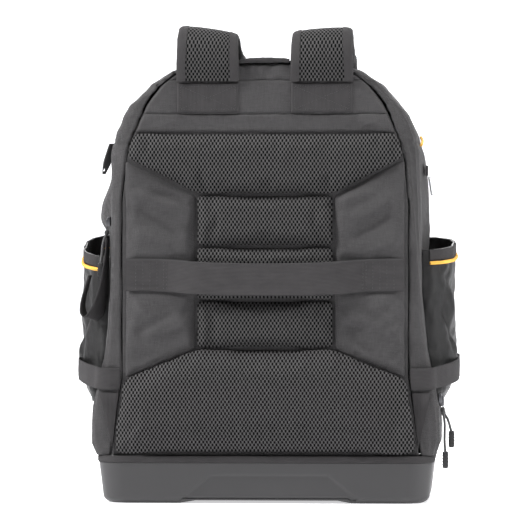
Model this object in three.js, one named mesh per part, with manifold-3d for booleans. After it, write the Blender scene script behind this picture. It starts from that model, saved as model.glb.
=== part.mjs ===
// A tool backpack with a rigid moulded base. The harness side faces -Y, up is +Z, millimetres.
import * as THREE from "three";
import * as BufferGeometryUtils from "three/addons/utils/BufferGeometryUtils.js";
import Module from "manifold-3d";

const wasm = await Module();
wasm.setup();

// Clearances
const GAP = 0.3; // between pieces that lie on each other

// Rigid base tray
const BASE_WIDTH = 380; // over the rim
const BASE_DEPTH = 214; // over the rim
const BASE_CENTRE_Y = -5;
const BASE_HEIGHT = 46;
const BASE_INWARD = 7; // how much narrower each side is at the floor
const BASE_CORNER = 28;
const BASE_ROUNDING = 9; // edge between wall and floor
const BASE_WALL = 3;
const FOOT_HEIGHT = 3;
const FOOT_LENGTH = 88; // each foot, measured in from the end of the floor
const RELIEF_TOP = 133; // width of the pressed relief in the wall, along its top
const RELIEF_BOTTOM = 189;
const RELIEF_HEIGHT = 24;
const RELIEF_DEPTH = 1.6;
const RELIEF_SHIFT = 5;

// Binding round the rim
const BINDING_HEIGHT = 8;
const BINDING_THICK = 2;

// Soft body
const BODY_TOP = 501;
const WAIST_HALF = 176; // half width at mid height
const BULGE = 21; // how much further the body bulges just above the base
const BODY_WALL = 3;
const BACK_Y = -106; // outer face of the back panel
const PANEL_THICK = 8;
const SEAM_HALF = 162; // half width of the back panel's seam
const SEAM_DROP = 3; // the seam's top lies this much below the body's top
const SEAM_BULGE = 12;
const GUSSET_DEPTH = 30; // rounded strip between the back panel and the main zip
const GUSSET_ROUNDING = 12;
const ZIP_WIDTH = 9;
const ZIP_RECESS = 1.2;
const MAIN_DEPTH = 112; // main compartment in front of the zip
const MAIN_ROUNDING = 12;
const WALL_SWELL = 9; // how far the main compartment's sides swell at most, halfway along its depth
const FRONT_HALF = 168; // front compartment
const FRONT_TOP = 452;
const FRONT_DEPTH = 49;
const FRONT_ROUNDING = 16;
const FRONT_SWELL = 2;
const POCKET_HALF = 134; // flat pocket on the front compartment
const POCKET_LOW = 76;
const POCKET_HIGH = 300;
const POCKET_DEPTH = 18;
const POCKET_ROUNDING = 7;
const POCKET_CORNER = 36;

// Bands across the upper back
const TOP_PANEL_LOW = 479;
const TOP_PANEL_HIGH = 496;
const TOP_PANEL_HALF = 116;
const YOKE_LOW = 441;
const LOWER_BAND_LOW = 420.5;
const BAND_THICK = 2;
const BAND_MARGIN = 1.5; // the bands stop this far inside the seam
const TOP_TRIM_HEIGHT = 4.5;
const TOP_TRIM_RISE = 1.5; // how much its middle lies above its ends

// Pads and wings on the back
const UPPER_PAD_TOP = 418.5;
const UPPER_PAD_SHOULDER = 392; // height where the upper pad is widest
const CENTRE_PADS_TOP = 350;
const LUMBAR_TOP = 176;
const LUMBAR_SHOULDER = 140;
const LUMBAR_BOTTOM = 57;
const LUMBAR_HALF = 172;
const CENTRE_PAD_HALF = 77;
const CENTRE_PAD_THICK = 12;
const CENTRE_PAD_EDGE = 8; // how far in from its edge a pad reaches its full thickness
const CENTRE_PAD_CORNER = 6;
const UPPER_PAD_THICK = 12;
const UPPER_PAD_EDGE = 12;
const UPPER_PAD_CORNER = 10;
const LUMBAR_THICK = 22.7;
const LUMBAR_EDGE = 28;
const LUMBAR_CORNER = 10;
const CORNER_TIGHTENING = 0.7; // share by which a pad's corners tighten where it is fullest
const UPPER_PAD_NARROWING = 9; // how much each side draws in from the shoulder to the top
const SIDE_MARGIN = 4; // pads stop this far inside the seam
const CHANNEL = 2; // sewn channel between two pads
const WING_THICK = 6;
const WING_EDGE = 9;
const WING_TOP_DROP = 11; // how far its outer corner lies below the upper pad's shoulder

// Luggage strap across the back
const LUGGAGE_WIDTH = 38;
const WEB_THICK = 1.6;
const LUGGAGE_Z = 259;
const LUGGAGE_SAG = 5;
const LUGGAGE_FREE_HALF = 112; // half of the stretch that isn't sewn down
const LUGGAGE_SEAT = 0.86; // share of the wings' thickness left under the sewn ends
const LUGGAGE_GAP = 8; // between the strap and the pad behind it

// Shoulder straps
const STRAP_X = 64.5; // middle of each strap
const STRAP_WIDTH = 72;
const STRAP_TOP_WIDTH = 69; // where it passes over the body's top
const STRAP_END_WIDTH = 52;
const STRAP_THICK = 14;
const STRAP_ROOT_THICK = 5;
const STRAP_RISE = 31; // how far the strap's arc rises above the body's top
const STRAP_END_Z = 196;
const STRAP_SPLAY = 62; // how far each strap swings outwards at its lower end
const STRAP_FACE_DROP = 60; // below the front compartment's top, where the strap lies on its face
const STRAP_ABOVE_POCKET = 40; // above the flat pocket's top, where it starts to lift over the pocket
const PATCH_WIDTH = 70;

// Webbing from the strap ends round the sides
const WEB_WIDTH = 25;
const WEB_TAB_Z = 141; // where it is sewn to the back
const WEB_SIDE_Z = 152;
const LOCK_WIDTH = 34;
const LOCK_LENGTH = 40;
const LOCK_THICK = 4.5;
const LOCK_BAR = 5;
const WEB_BEYOND_MAIN = 20; // in front of the main compartment, where it turns in to the strap
const WEB_TURN = 12; // how far that turn lies inside the side pockets' reach
const TAB_LOW_Z = 62;
const TAB_WIDTH = 22;
const TAB_INNER_RISE = 20; // above the tab's lower tip, where its inner edge bends
const TAB_OUTER_RISE = 30;
const TAB_OUTER_REACH = 7;

// Side pockets
const SIDE_REACH = 215; // outermost half width of the pockets
const SIDE_REACH_TOP = 212;
const SIDE_HALF_LENGTH = 62; // half of each pocket's length along Y
const SIDE_CENTRE_Y = -8;
const SIDE_LOW = 114;
const SIDE_WALL = 2.5;
const HOLLOW_BEYOND = 2; // how far a pocket's hollow is cut past its own open back
const SIDE_BINDING = 12;
const PIPING = 4; // diameter of the yellow piping
// The two sides differ a little. The rim's back and front ends are shares of the body's height, and the
// strap's roll is in degrees.
const SIDES = [
  { side: -1, name: "left", back: 0.557, front: 0.607, roll: 8 },
  { side: 1, name: "right", back: 0.573, front: 0.601, roll: 4 },
].map((row) => ({ ...row, back: row.back * BODY_TOP, front: row.front * BODY_TOP }));

// Zip pulls and the ring at the upper right
const SLIDER_LENGTH = 11;
const SLIDER_WIDTH = 8;
const SLIDER_THICK = 4;
const PULL_CORD = 2.4;
const PULL_GRIP_LENGTH = 19;
const PULL_GRIP_WIDTH = 8;
const PULL_GRIP_THICK = 6.5;
const PULL_HANG = 66; // how far the left pull hangs below its slider's middle
const PULL_LEAN = 10; // how far its grip leans out from the body
const PULL_UP = 0.637; // height of the left slider, as a share of the body's
const PULL_BELOW_WEB = 22; // how far the inner right slider hangs below the webbing's sewn end
// Depths are shares of the gusset's depth, and hang and lean of the left pull's
const PULLS = [
  { name: "zip_pull_left", side: -1, z: PULL_UP * BODY_TOP, depth: 0.733, hang: 1, lean: 1 },
  {
    name: "zip_pull_right_inner",
    side: 1,
    z: WEB_TAB_Z - PULL_BELOW_WEB,
    depth: 0.633,
    hang: 1.2,
    lean: 0.6,
  },
  {
    name: "zip_pull_right_outer",
    side: 1,
    z: WEB_TAB_Z - 1.18 * PULL_BELOW_WEB,
    depth: 0.967,
    hang: 0.79,
    lean: 1.2,
  },
];
const UPPER_TAB_Z = 397; // top of the tapered tab at the upper left
const UPPER_TAB_LENGTH = 24;
const UPPER_TAB_HALF = 4; // half of its width, which narrows to the tip's
const UPPER_TAB_TIP_HALF = 2.5;
const UPPER_TAB_THICK = 2.4;
const UPPER_TAB_FORWARD = 6; // in front of the gusset's middle
const RING_TAB_Z = 371;
const RING_TAB_WIDTH = 14;
const RING_TAB_LENGTH = 12;
const RING_TAB_THICK = 3;
const RING_LENGTH = 22;
const RING_WIDTH = 16;
const RING_BAR = 3;
const RING_FORWARD = 20; // how far the ring hangs in front of the main zip
const ACCENT_Z = 406;
const ACCENT_LENGTH = 60;
const ACCENT_RISE = 10; // how much higher its far end lies
const ACCENT_FORWARD = 12; // how far in front of the main zip it starts

// Section tables: heights are shares of the body's height, widths shares of the named half width. The
// body's and the seam's have as many rows as each other, because the gusset runs from one to the other.
const BODY_ROWS = [
  { up: 0, out: 1, bulge: 0.75, swell: 0 },
  { up: 0.03, out: 1, bulge: 1, swell: 0.05 },
  { up: 0.12, out: 1, bulge: 0.95, swell: 0.15 },
  { up: 0.27, out: 1, bulge: 0.32, swell: 0.4 },
  { up: 0.42, out: 1, bulge: 0.02, swell: 0.8 },
  { up: 0.58, out: 0.998, bulge: 0.01, swell: 1 },
  { up: 0.7, out: 0.995, bulge: 0, swell: 0.75 },
  { up: 0.766, out: 0.989, bulge: 0, swell: 0.5 },
  { up: 0.816, out: 0.96, bulge: 0, swell: 0.3 },
  { up: 0.867, out: 0.904, bulge: 0, swell: 0.2 },
  { up: 0.903, out: 0.828, bulge: 0, swell: 0.15 },
  { up: 0.942, out: 0.745, bulge: 0, swell: 0.1 },
  { up: 0.975, out: 0.6, bulge: 0, swell: 0.05 },
  { up: 0.994, out: 0.36, bulge: 0, swell: 0 },
  { up: 1, out: 0.12, bulge: 0, swell: 0 },
];
const SEAM_ROWS = [
  { up: 0, out: 1, bulge: 1 },
  { up: 0.1, out: 1, bulge: 0.6 },
  { up: 0.2, out: 1, bulge: 0 },
  { up: 0.42, out: 1, bulge: 0 },
  { up: 0.65, out: 1, bulge: 0 },
  { up: 0.77, out: 0.965, bulge: 0 },
  { up: 0.82, out: 0.922, bulge: 0 },
  { up: 0.87, out: 0.86, bulge: 0 },
  { up: 0.9, out: 0.82, bulge: 0 },
  { up: 0.945, out: 0.725, bulge: 0 },
  { up: 0.975, out: 0.62, bulge: 0 },
  { up: 0.99, out: 0.5, bulge: 0 },
  { up: 0.996, out: 0.36, bulge: 0 },
  { up: 0.999, out: 0.2, bulge: 0 },
  { up: 1, out: 0.1, bulge: 0 },
];
const FRONT_ROWS = [
  { up: 0, out: 1, bulge: 0.3 },
  { up: 0.03, out: 1, bulge: 0.45 },
  { up: 0.12, out: 1, bulge: 0.45 },
  { up: 0.25, out: 1, bulge: 0.2 },
  { up: 0.5, out: 0.99, bulge: 0 },
  { up: 0.7, out: 0.97, bulge: 0 },
  { up: 0.8, out: 0.92, bulge: 0 },
  { up: 0.87, out: 0.85, bulge: 0 },
  { up: 0.92, out: 0.77, bulge: 0 },
  { up: 0.96, out: 0.66, bulge: 0 },
  { up: 0.985, out: 0.52, bulge: 0 },
  { up: 0.995, out: 0.36, bulge: 0 },
  { up: 0.999, out: 0.2, bulge: 0 },
  { up: 1, out: 0.08, bulge: 0 },
];
// A pad's profile: how far in from its edge, and how far out of the panel, as shares
const PAD_ROWS = [
  { inset: 0, out: 0 },
  { inset: 0, out: 0.35 },
  { inset: 0.25, out: 0.72 },
  { inset: 0.7, out: 0.93 },
  { inset: 1, out: 1 },
];
// Soft folds in the wings: how thick they are along their height
const FOLD_ROWS = [
  { along: -0.2, height: 0.75 },
  { along: 0.2, height: 0.95 },
  { along: 0.5, height: 0.55 },
  { along: 0.8, height: 1 },
  { along: 1.2, height: 0.7 },
];

// Sizes that follow from the ones above
const BODY_LOW = BASE_HEIGHT + BINDING_HEIGHT + 2 * GAP;
const GUSSET_END_Y = BACK_Y + GUSSET_DEPTH;
const MAIN_START_Y = GUSSET_END_Y + ZIP_WIDTH + 2 * GAP;
const MAIN_END_Y = MAIN_START_Y + MAIN_DEPTH;
const FRONT_END_Y = MAIN_END_Y + GAP + FRONT_DEPTH;
const POCKET_END_Y = FRONT_END_Y + GAP + POCKET_DEPTH;
const PANEL_FACE = BACK_Y - GAP;
const PAD_FACE = PANEL_FACE - CENTRE_PAD_THICK;

const fabric = (color, roughness = 0.9) => new THREE.MeshStandardMaterial({ color, roughness, metalness: 0 });
const BODY_CLOTH = fabric(0x555253);
const BINDING_CLOTH = fabric(0x484647);
const MESH_CLOTH = fabric(0x3f3d3e);
const WEBBING = fabric(0x4a4849, 0.8);
const COATED_CLOTH = fabric(0x4d4b4c, 0.5);
const ZIP_COIL = fabric(0x161616, 0.6);
const PIPING_YELLOW = fabric(0xf0b43c, 0.7);
const MOULDED_PLASTIC = fabric(0x5a595a, 0.55);
const RUBBER = fabric(0x1c1b1c, 0.6);
const STEEL = new THREE.MeshStandardMaterial({ color: 0xb8b9ba, roughness: 0.3, metalness: 1 });

const bag = new THREE.Group();

function piece(name, geometry, material) {
  const mesh = new THREE.Mesh(geometry, material);
  mesh.name = name;
  bag.add(mesh);
  return mesh;
}

// Closed skin through rings with the same number of points, with a lid on the first and the last
function loft(rings) {
  const count = rings[0].length;
  const points = rings.flat();
  const faces = [];
  for (let ring = 0; ring + 1 < rings.length; ring += 1) {
    for (let i = 0; i < count; i += 1) {
      const here = ring * count + i;
      const next = ring * count + ((i + 1) % count);
      faces.push(here, next, next + count, here, next + count, here + count);
    }
  }
  [0, rings.length - 1].forEach((ring) => {
    const middle = points.length;
    const sum = rings[ring].reduce((total, point) => total.add(point), new THREE.Vector3());
    points.push(sum.divideScalar(count));
    for (let i = 0; i < count; i += 1) {
      const here = ring * count + i;
      const next = ring * count + ((i + 1) % count);
      faces.push(...(ring === 0 ? [next, here, middle] : [here, next, middle]));
    }
  });
  const geometry = new THREE.BufferGeometry().setFromPoints(points);
  geometry.setIndex(faces);
  return outward(geometry);
}

// The same geometry with its faces pointing out
function outward(geometry) {
  const position = geometry.attributes.position;
  const index = geometry.index.array;
  const corner = [new THREE.Vector3(), new THREE.Vector3(), new THREE.Vector3()];
  let volume = 0;
  for (let i = 0; i < index.length; i += 3) {
    corner.forEach((point, k) => point.fromBufferAttribute(position, index[i + k]));
    volume += corner[0].dot(corner[1].clone().cross(corner[2]));
  }
  if (volume < 0) {
    for (let i = 0; i < index.length; i += 3) {
      [index[i], index[i + 1]] = [index[i + 1], index[i]];
    }
  }
  return geometry;
}

function solidOf(geometry) {
  const bare = geometry.clone();
  bare.deleteAttribute("normal");
  bare.deleteAttribute("uv");
  const merged = BufferGeometryUtils.mergeVertices(bare, 1e-4);
  return new wasm.Manifold(
    new wasm.Mesh({
      numProp: 3,
      vertProperties: new Float32Array(merged.attributes.position.array),
      triVerts: new Uint32Array(merged.index.array),
    }),
  );
}

function geometryOf(solid) {
  const mesh = solid.getMesh();
  const geometry = new THREE.BufferGeometry();
  geometry.setAttribute("position", new THREE.BufferAttribute(mesh.vertProperties, 3));
  geometry.setIndex(new THREE.BufferAttribute(mesh.triVerts, 1));
  return geometry;
}

const cut = (whole, ...tools) =>
  geometryOf(tools.reduce((left, tool) => left.subtract(solidOf(tool)), solidOf(whole)));
const join = (first, ...others) =>
  geometryOf(others.reduce((sum, other) => sum.add(solidOf(other)), solidOf(first)));
const common = (first, second) => geometryOf(solidOf(first).intersect(solidOf(second)));

function block(lowX, highX, lowY, highY, lowZ, highZ) {
  const geometry = new THREE.BoxGeometry(highX - lowX, highY - lowY, highZ - lowZ);
  return geometry.translate((lowX + highX) / 2, (lowY + highY) / 2, (lowZ + highZ) / 2);
}

// Outlines in a plane

// Points moved along the outline's own normals, outwards for a positive distance
function grown(outline, distance) {
  const turn = THREE.ShapeUtils.isClockWise(outline) ? -1 : 1;
  return outline.map((point, i) => {
    const before = outline[(i + outline.length - 1) % outline.length];
    const after = outline[(i + 1) % outline.length];
    const first = point.clone().sub(before).normalize();
    const second = after.clone().sub(point).normalize();
    const bisector = first.clone().add(second).normalize();
    const reach = distance / Math.max(0.5, bisector.dot(second));
    return new THREE.Vector2(point.x + bisector.y * turn * reach, point.y - bisector.x * turn * reach);
  });
}

// Arch of a soft bag seen from behind: left foot, over the top, right foot
function arch(rows, half, bulge, low, high) {
  const right = rows.map((row) => {
    return new THREE.Vector2(row.out * half + row.bulge * bulge, low + row.up * (high - low));
  });
  const left = right.map((point) => new THREE.Vector2(-point.x, point.y));
  return [...left, ...right.reverse()];
}

// The outline with its two feet slid along their edges to another height
function withFeetAt(outline, z) {
  return outline.map((point, i) => {
    if (i > 0 && i < outline.length - 1) {
      return point;
    }
    const above = i === 0 ? outline[1] : outline[i - 1];
    const share = (z - above.y) / (point.y - above.y);
    return new THREE.Vector2(THREE.MathUtils.lerp(above.x, point.x, share), z);
  });
}

// An arch grown outwards that still stands on the body's lower edge
const grownArch = (outline, grow) => withFeetAt(grown(outline, grow), BODY_LOW);
const bodyArch = (grow = 0) => grownArch(arch(BODY_ROWS, WAIST_HALF, BULGE, BODY_LOW, BODY_TOP), grow);
const seamArch = (grow = 0) =>
  grownArch(arch(SEAM_ROWS, SEAM_HALF, SEAM_BULGE, BODY_LOW, BODY_TOP - SEAM_DROP), grow);
// The body's arch with its sides swollen, as it is halfway along the main compartment
const swollenArch = () =>
  bodyArch().map((point, i, outline) => {
    const { swell } = BODY_ROWS[Math.min(i, outline.length - 1 - i)];
    return new THREE.Vector2(point.x + Math.sign(point.x) * swell * WALL_SWELL, point.y);
  });
const frontArch = (grow = 0) =>
  grownArch(arch(FRONT_ROWS, FRONT_HALF, BULGE, BODY_LOW, FRONT_TOP), grow);

// The outline with its feet moved down, so that a cut runs out through the bottom
const openBelow = (outline) => withFeetAt(outline, BASE_HEIGHT);

// Part of the way from one outline to another
const between = (from, to, share) => from.map((point, i) => point.clone().lerp(to[i], share));

// Stands a plane outline up at a depth
const upright = (outline, y) => outline.map((point) => new THREE.Vector3(point.x, y, point.y));
const flat = (outline, z) => outline.map((point) => new THREE.Vector3(point.x, point.y, z));
const uprightLoft = (sections) => loft(sections.map(({ outline, y }) => upright(outline, y)));

function roundedRectangle(halfX, halfY, radius, centreX = 0, centreY = 0, stepsPerCorner = 4) {
  const corners = [
    { x: 1, y: 1, from: 0 },
    { x: -1, y: 1, from: 1 },
    { x: -1, y: -1, from: 2 },
    { x: 1, y: -1, from: 3 },
  ];
  return corners.flatMap(({ x, y, from }) =>
    Array.from({ length: stepsPerCorner + 1 }, (_, i) => {
      const turn = ((from + i / stepsPerCorner) * Math.PI) / 2;
      return new THREE.Vector2(
        centreX + x * (halfX - radius) + radius * Math.cos(turn),
        centreY + y * (halfY - radius) + radius * Math.sin(turn),
      );
    }),
  );
}

function roundedPolygon(corners, radius, stepsPerCorner = 3) {
  return corners.flatMap((corner, i) => {
    const before = corners[(i + corners.length - 1) % corners.length];
    const after = corners[(i + 1) % corners.length];
    const start = corner.clone().add(before.clone().sub(corner).setLength(radius));
    const end = corner.clone().add(after.clone().sub(corner).setLength(radius));
    return new THREE.QuadraticBezierCurve(start, corner, end).getPoints(stepsPerCorner);
  });
}

// Mirror image of a right-hand outline joined to it, for outlines that are the same on both sides
function mirrored(rightSide) {
  const leftSide = rightSide.map(({ x, z }) => new THREE.Vector2(-x, z)).reverse();
  return [...rightSide.map(({ x, z }) => new THREE.Vector2(x, z)), ...leftSide];
}

// A pad with rounded edges and a crowned face, standing out from the panel towards -Y. Its corners are
// drawn in before they are rounded, so that a broad edge never folds over a tight corner.
function pad(corners, radius, thick, edge) {
  return uprightLoft(
    PAD_ROWS.map((row) => {
      const drawnIn = grown(corners, -row.inset * edge);
      const tighter = radius * (1 - CORNER_TIGHTENING * row.inset);
      return { outline: roundedPolygon(drawnIn, tighter), y: PANEL_FACE - row.out * thick };
    }),
  );
}

// Bands, straps and webbing along a curve

const WEB_SECTION = [
  { across: -0.5, out: -0.5 },
  { across: 0.5, out: -0.5 },
  { across: 0.5, out: 0.5 },
  { across: -0.5, out: 0.5 },
];
const STRAP_SECTION = [
  { across: -0.5, out: -0.12 },
  { across: -0.42, out: -0.3 },
  { across: -0.3, out: -0.42 },
  { across: 0, out: -0.5 },
  { across: 0.3, out: -0.42 },
  { across: 0.42, out: -0.3 },
  { across: 0.5, out: -0.12 },
  { across: 0.5, out: 0.12 },
  { across: 0.4, out: 0.36 },
  { across: 0.2, out: 0.5 },
  { across: -0.2, out: 0.5 },
  { across: -0.4, out: 0.36 },
  { across: -0.5, out: 0.12 },
];

function band({ points, section, width, thick, facing, steps, roll = () => 0 }) {
  const curve = new THREE.CatmullRomCurve3(points, false, "centripetal");
  const rings = [];
  for (let i = 0; i <= steps; i += 1) {
    const share = i / steps;
    const centre = curve.getPointAt(share);
    const along = curve.getTangentAt(share);
    const across = along.clone().cross(facing(centre)).normalize().applyAxisAngle(along, roll(share));
    const out = across.clone().cross(along).normalize();
    rings.push(
      section.map((corner) =>
        centre
          .clone()
          .addScaledVector(across, corner.across * width(share))
          .addScaledVector(out, corner.out * thick(share)),
      ),
    );
  }
  return loft(rings);
}

function tube(points, diameter, steps, sides = 8) {
  const path = new THREE.CatmullRomCurve3(points, false, "centripetal");
  const disc = new THREE.Shape().absarc(0, 0, diameter / 2, 0, 2 * Math.PI);
  return new THREE.ExtrudeGeometry(disc, { extrudePath: path, steps, curveSegments: sides / 2 });
}

// Base tray: a tub with tapering walls, two feet and a pressed relief in its harness side
function baseTray() {
  const halfX = BASE_WIDTH / 2;
  const halfY = BASE_DEPTH / 2;
  const ring = (inset, z) =>
    flat(roundedRectangle(halfX - inset, halfY - inset, BASE_CORNER - inset / 2, 0, BASE_CENTRE_Y), z);
  const wallInset = (z) => (BASE_INWARD * (BASE_HEIGHT - z)) / BASE_HEIGHT;
  const outside = loft([
    ring(BASE_INWARD + BASE_ROUNDING * 0.9, 0),
    ring(BASE_INWARD + BASE_ROUNDING * 0.25, BASE_ROUNDING * 0.3),
    ring(wallInset(BASE_ROUNDING), BASE_ROUNDING),
    ring(0, BASE_HEIGHT),
  ]);
  const floorZ = FOOT_HEIGHT + BASE_WALL;
  const inside = loft([
    ring(BASE_INWARD + BASE_ROUNDING * 0.6 + BASE_WALL, floorZ),
    ring(wallInset(BASE_ROUNDING + FOOT_HEIGHT) + BASE_WALL, BASE_ROUNDING + FOOT_HEIGHT),
    ring(BASE_WALL, BASE_HEIGHT),
    ring(BASE_WALL, BASE_HEIGHT + 1),
  ]);
  const archHalf = halfX - BASE_INWARD - FOOT_LENGTH;
  const arched = block(-archHalf, archHalf, -BASE_DEPTH, BASE_DEPTH, -1, FOOT_HEIGHT);
  return cut(outside, inside, arched, baseRelief());
}

// The relief is a shallow trapezoid that follows the wall's slope
function baseRelief() {
  const wallY = (z) =>
    BASE_CENTRE_Y - BASE_DEPTH / 2 + (BASE_INWARD * (BASE_HEIGHT - z)) / BASE_HEIGHT;
  const outline = (halfLow, halfHigh, low, high, depth) =>
    [
      { x: -halfLow, z: low },
      { x: halfLow, z: low },
      { x: halfHigh, z: high },
      { x: -halfHigh, z: high },
    ].map(({ x, z }) => new THREE.Vector3(x + RELIEF_SHIFT, wallY(z) + depth, z));
  const low = BASE_ROUNDING;
  const high = low + RELIEF_HEIGHT;
  return loft([
    outline(RELIEF_BOTTOM / 2 + 2, RELIEF_TOP / 2 + 2, low - 2, high + 2, -2),
    outline(RELIEF_BOTTOM / 2, RELIEF_TOP / 2, low, high, RELIEF_DEPTH),
  ]);
}

function rimBinding() {
  const ring = (grow, z) =>
    flat(
      roundedRectangle(BASE_WIDTH / 2 + grow, BASE_DEPTH / 2 + grow, BASE_CORNER + grow, 0, BASE_CENTRE_Y),
      z,
    );
  const low = BASE_HEIGHT + GAP;
  const high = low + BINDING_HEIGHT;
  const outside = loft([
    ring(0.4, low),
    ring(BINDING_THICK * 0.7, low + 1),
    ring(BINDING_THICK * 0.7, high - 1),
    ring(0.4, high),
  ]);
  return cut(outside, loft([ring(-BINDING_THICK, low - 1), ring(-BINDING_THICK, high + 1)]));
}

// Strip between the back panel's seam and the main zip, rounded at its outer corner
function backGusset() {
  const inner = seamArch(GAP);
  const lip = seamArch(BODY_WALL);
  const outer = bodyArch();
  const outside = uprightLoft([
    { outline: lip, y: BACK_Y },
    { outline: between(lip, outer, 0.5), y: BACK_Y + GUSSET_ROUNDING * 0.12 },
    { outline: between(lip, outer, 0.85), y: BACK_Y + GUSSET_ROUNDING * 0.45 },
    { outline: outer, y: BACK_Y + GUSSET_ROUNDING },
    { outline: outer, y: GUSSET_END_Y },
  ]);
  const hollow = openBelow(bodyArch(-BODY_WALL));
  const inside = uprightLoft([
    { outline: openBelow(inner), y: BACK_Y - 1 },
    { outline: openBelow(inner), y: BACK_Y + PANEL_THICK + GAP },
    { outline: hollow, y: BACK_Y + GUSSET_ROUNDING + BODY_WALL },
    { outline: hollow, y: GUSSET_END_Y + 1 },
  ]);
  return cut(outside, inside);
}

function mainZip() {
  const startY = GUSSET_END_Y + GAP;
  const ring = (grow, y) => ({ outline: bodyArch(grow), y });
  const outside = uprightLoft([
    ring(-ZIP_RECESS, startY),
    ring(-ZIP_RECESS / 2, startY + ZIP_WIDTH / 2),
    ring(-ZIP_RECESS, startY + ZIP_WIDTH),
  ]);
  const hollow = openBelow(bodyArch(-BODY_WALL));
  return cut(
    outside,
    uprightLoft([
      { outline: hollow, y: startY - 1 },
      { outline: hollow, y: startY + ZIP_WIDTH + 1 },
    ]),
  );
}

// A compartment that is open towards the back and the base
function compartment(outlineAt, swollen, startY, endY, rounding) {
  const middle = (startY + endY - rounding) / 2;
  const ring = (grow, y) => ({ outline: outlineAt(grow), y });
  const hollow = (grow, y) => ({ outline: openBelow(outlineAt(grow)), y });
  const outside = uprightLoft([
    ring(0, startY),
    { outline: swollen, y: middle },
    ring(0, endY - rounding),
    ring(-rounding * 0.25, endY - rounding * 0.35),
    ring(-rounding * 0.9, endY),
  ]);
  const inside = uprightLoft([
    hollow(-BODY_WALL, startY - 1),
    hollow(-BODY_WALL, endY - rounding),
    hollow(-BODY_WALL - rounding * 0.9, endY - BODY_WALL),
  ]);
  return cut(outside, inside);
}

function frontPocket() {
  const middleZ = (POCKET_LOW + POCKET_HIGH) / 2;
  const halfZ = (POCKET_HIGH - POCKET_LOW) / 2;
  const ring = (inset, y) => ({
    outline: roundedRectangle(POCKET_HALF - inset, halfZ - inset, POCKET_CORNER - inset, 0, middleZ),
    y,
  });
  const startY = FRONT_END_Y + GAP;
  const outside = uprightLoft([
    ring(0, startY),
    ring(0, POCKET_END_Y - POCKET_ROUNDING),
    ring(POCKET_ROUNDING * 0.3, POCKET_END_Y - POCKET_ROUNDING * 0.3),
    ring(POCKET_ROUNDING, POCKET_END_Y),
  ]);
  const inside = uprightLoft([
    ring(BODY_WALL, startY - 1),
    ring(BODY_WALL + POCKET_ROUNDING * 0.5, POCKET_END_Y - BODY_WALL),
  ]);
  return cut(outside, inside);
}

// A flat cloth band on the back panel, between two heights, as wide as the seam allows
function panelBand(low, high, half, thick) {
  const sheet = uprightLoft([
    { outline: seamArch(-BAND_MARGIN), y: PANEL_FACE },
    { outline: seamArch(-BAND_MARGIN), y: PANEL_FACE - thick },
  ]);
  return common(sheet, block(-half, half, PANEL_FACE - thick, PANEL_FACE, low, high));
}

const strapPatch = (side) =>
  block(
    side * STRAP_X - PATCH_WIDTH / 2,
    side * STRAP_X + PATCH_WIDTH / 2,
    PANEL_FACE - BAND_THICK - GAP - WEB_THICK,
    PANEL_FACE - BAND_THICK - GAP,
    YOKE_LOW + 1,
    TOP_PANEL_LOW - 3,
  );

function topTrim() {
  const midZ = BODY_TOP + TOP_TRIM_HEIGHT / 4;
  const half = STRAP_X - STRAP_WIDTH / 2 - 1;
  const y = BACK_Y - GAP - TOP_TRIM_HEIGHT / 2;
  const points = [-1, -0.5, 0, 0.5, 1].map((share) => {
    return new THREE.Vector3(share * half, y, midZ - TOP_TRIM_RISE * share * share);
  });
  return tube(points, TOP_TRIM_HEIGHT, 8);
}

// Pads on the back
const paddedHalf = SEAM_HALF - SIDE_MARGIN;
const diagonalTop = CENTRE_PADS_TOP + CHANNEL / 2;
const diagonalLow = LUMBAR_TOP - CHANNEL / 2;

const upperPadOutline = mirrored([
  { x: CENTRE_PAD_HALF, z: diagonalTop },
  { x: paddedHalf - 1, z: UPPER_PAD_SHOULDER },
  { x: paddedHalf - UPPER_PAD_NARROWING, z: UPPER_PAD_TOP },
]);

const lumbarOutline = mirrored([
  { x: LUMBAR_HALF, z: LUMBAR_BOTTOM },
  { x: paddedHalf + 2, z: LUMBAR_SHOULDER },
  { x: CENTRE_PAD_HALF, z: diagonalLow },
]);

const CENTRE_PADS = [
  { name: "centre_pad_upper", from: 1, to: 0.672 },
  { name: "centre_pad_middle", from: 0.658, to: 0.316 },
  { name: "centre_pad_lower", from: 0.304, to: 0 },
];

function centrePad({ from, to }) {
  const high = diagonalLow + CHANNEL + (CENTRE_PADS_TOP - diagonalLow - 2 * CHANNEL) * from;
  const low = diagonalLow + CHANNEL + (CENTRE_PADS_TOP - diagonalLow - 2 * CHANNEL) * to;
  const corners = mirrored([
    { x: CENTRE_PAD_HALF, z: low },
    { x: CENTRE_PAD_HALF, z: high },
  ]);
  return pad(corners, CENTRE_PAD_CORNER, CENTRE_PAD_THICK, CENTRE_PAD_EDGE);
}

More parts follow.
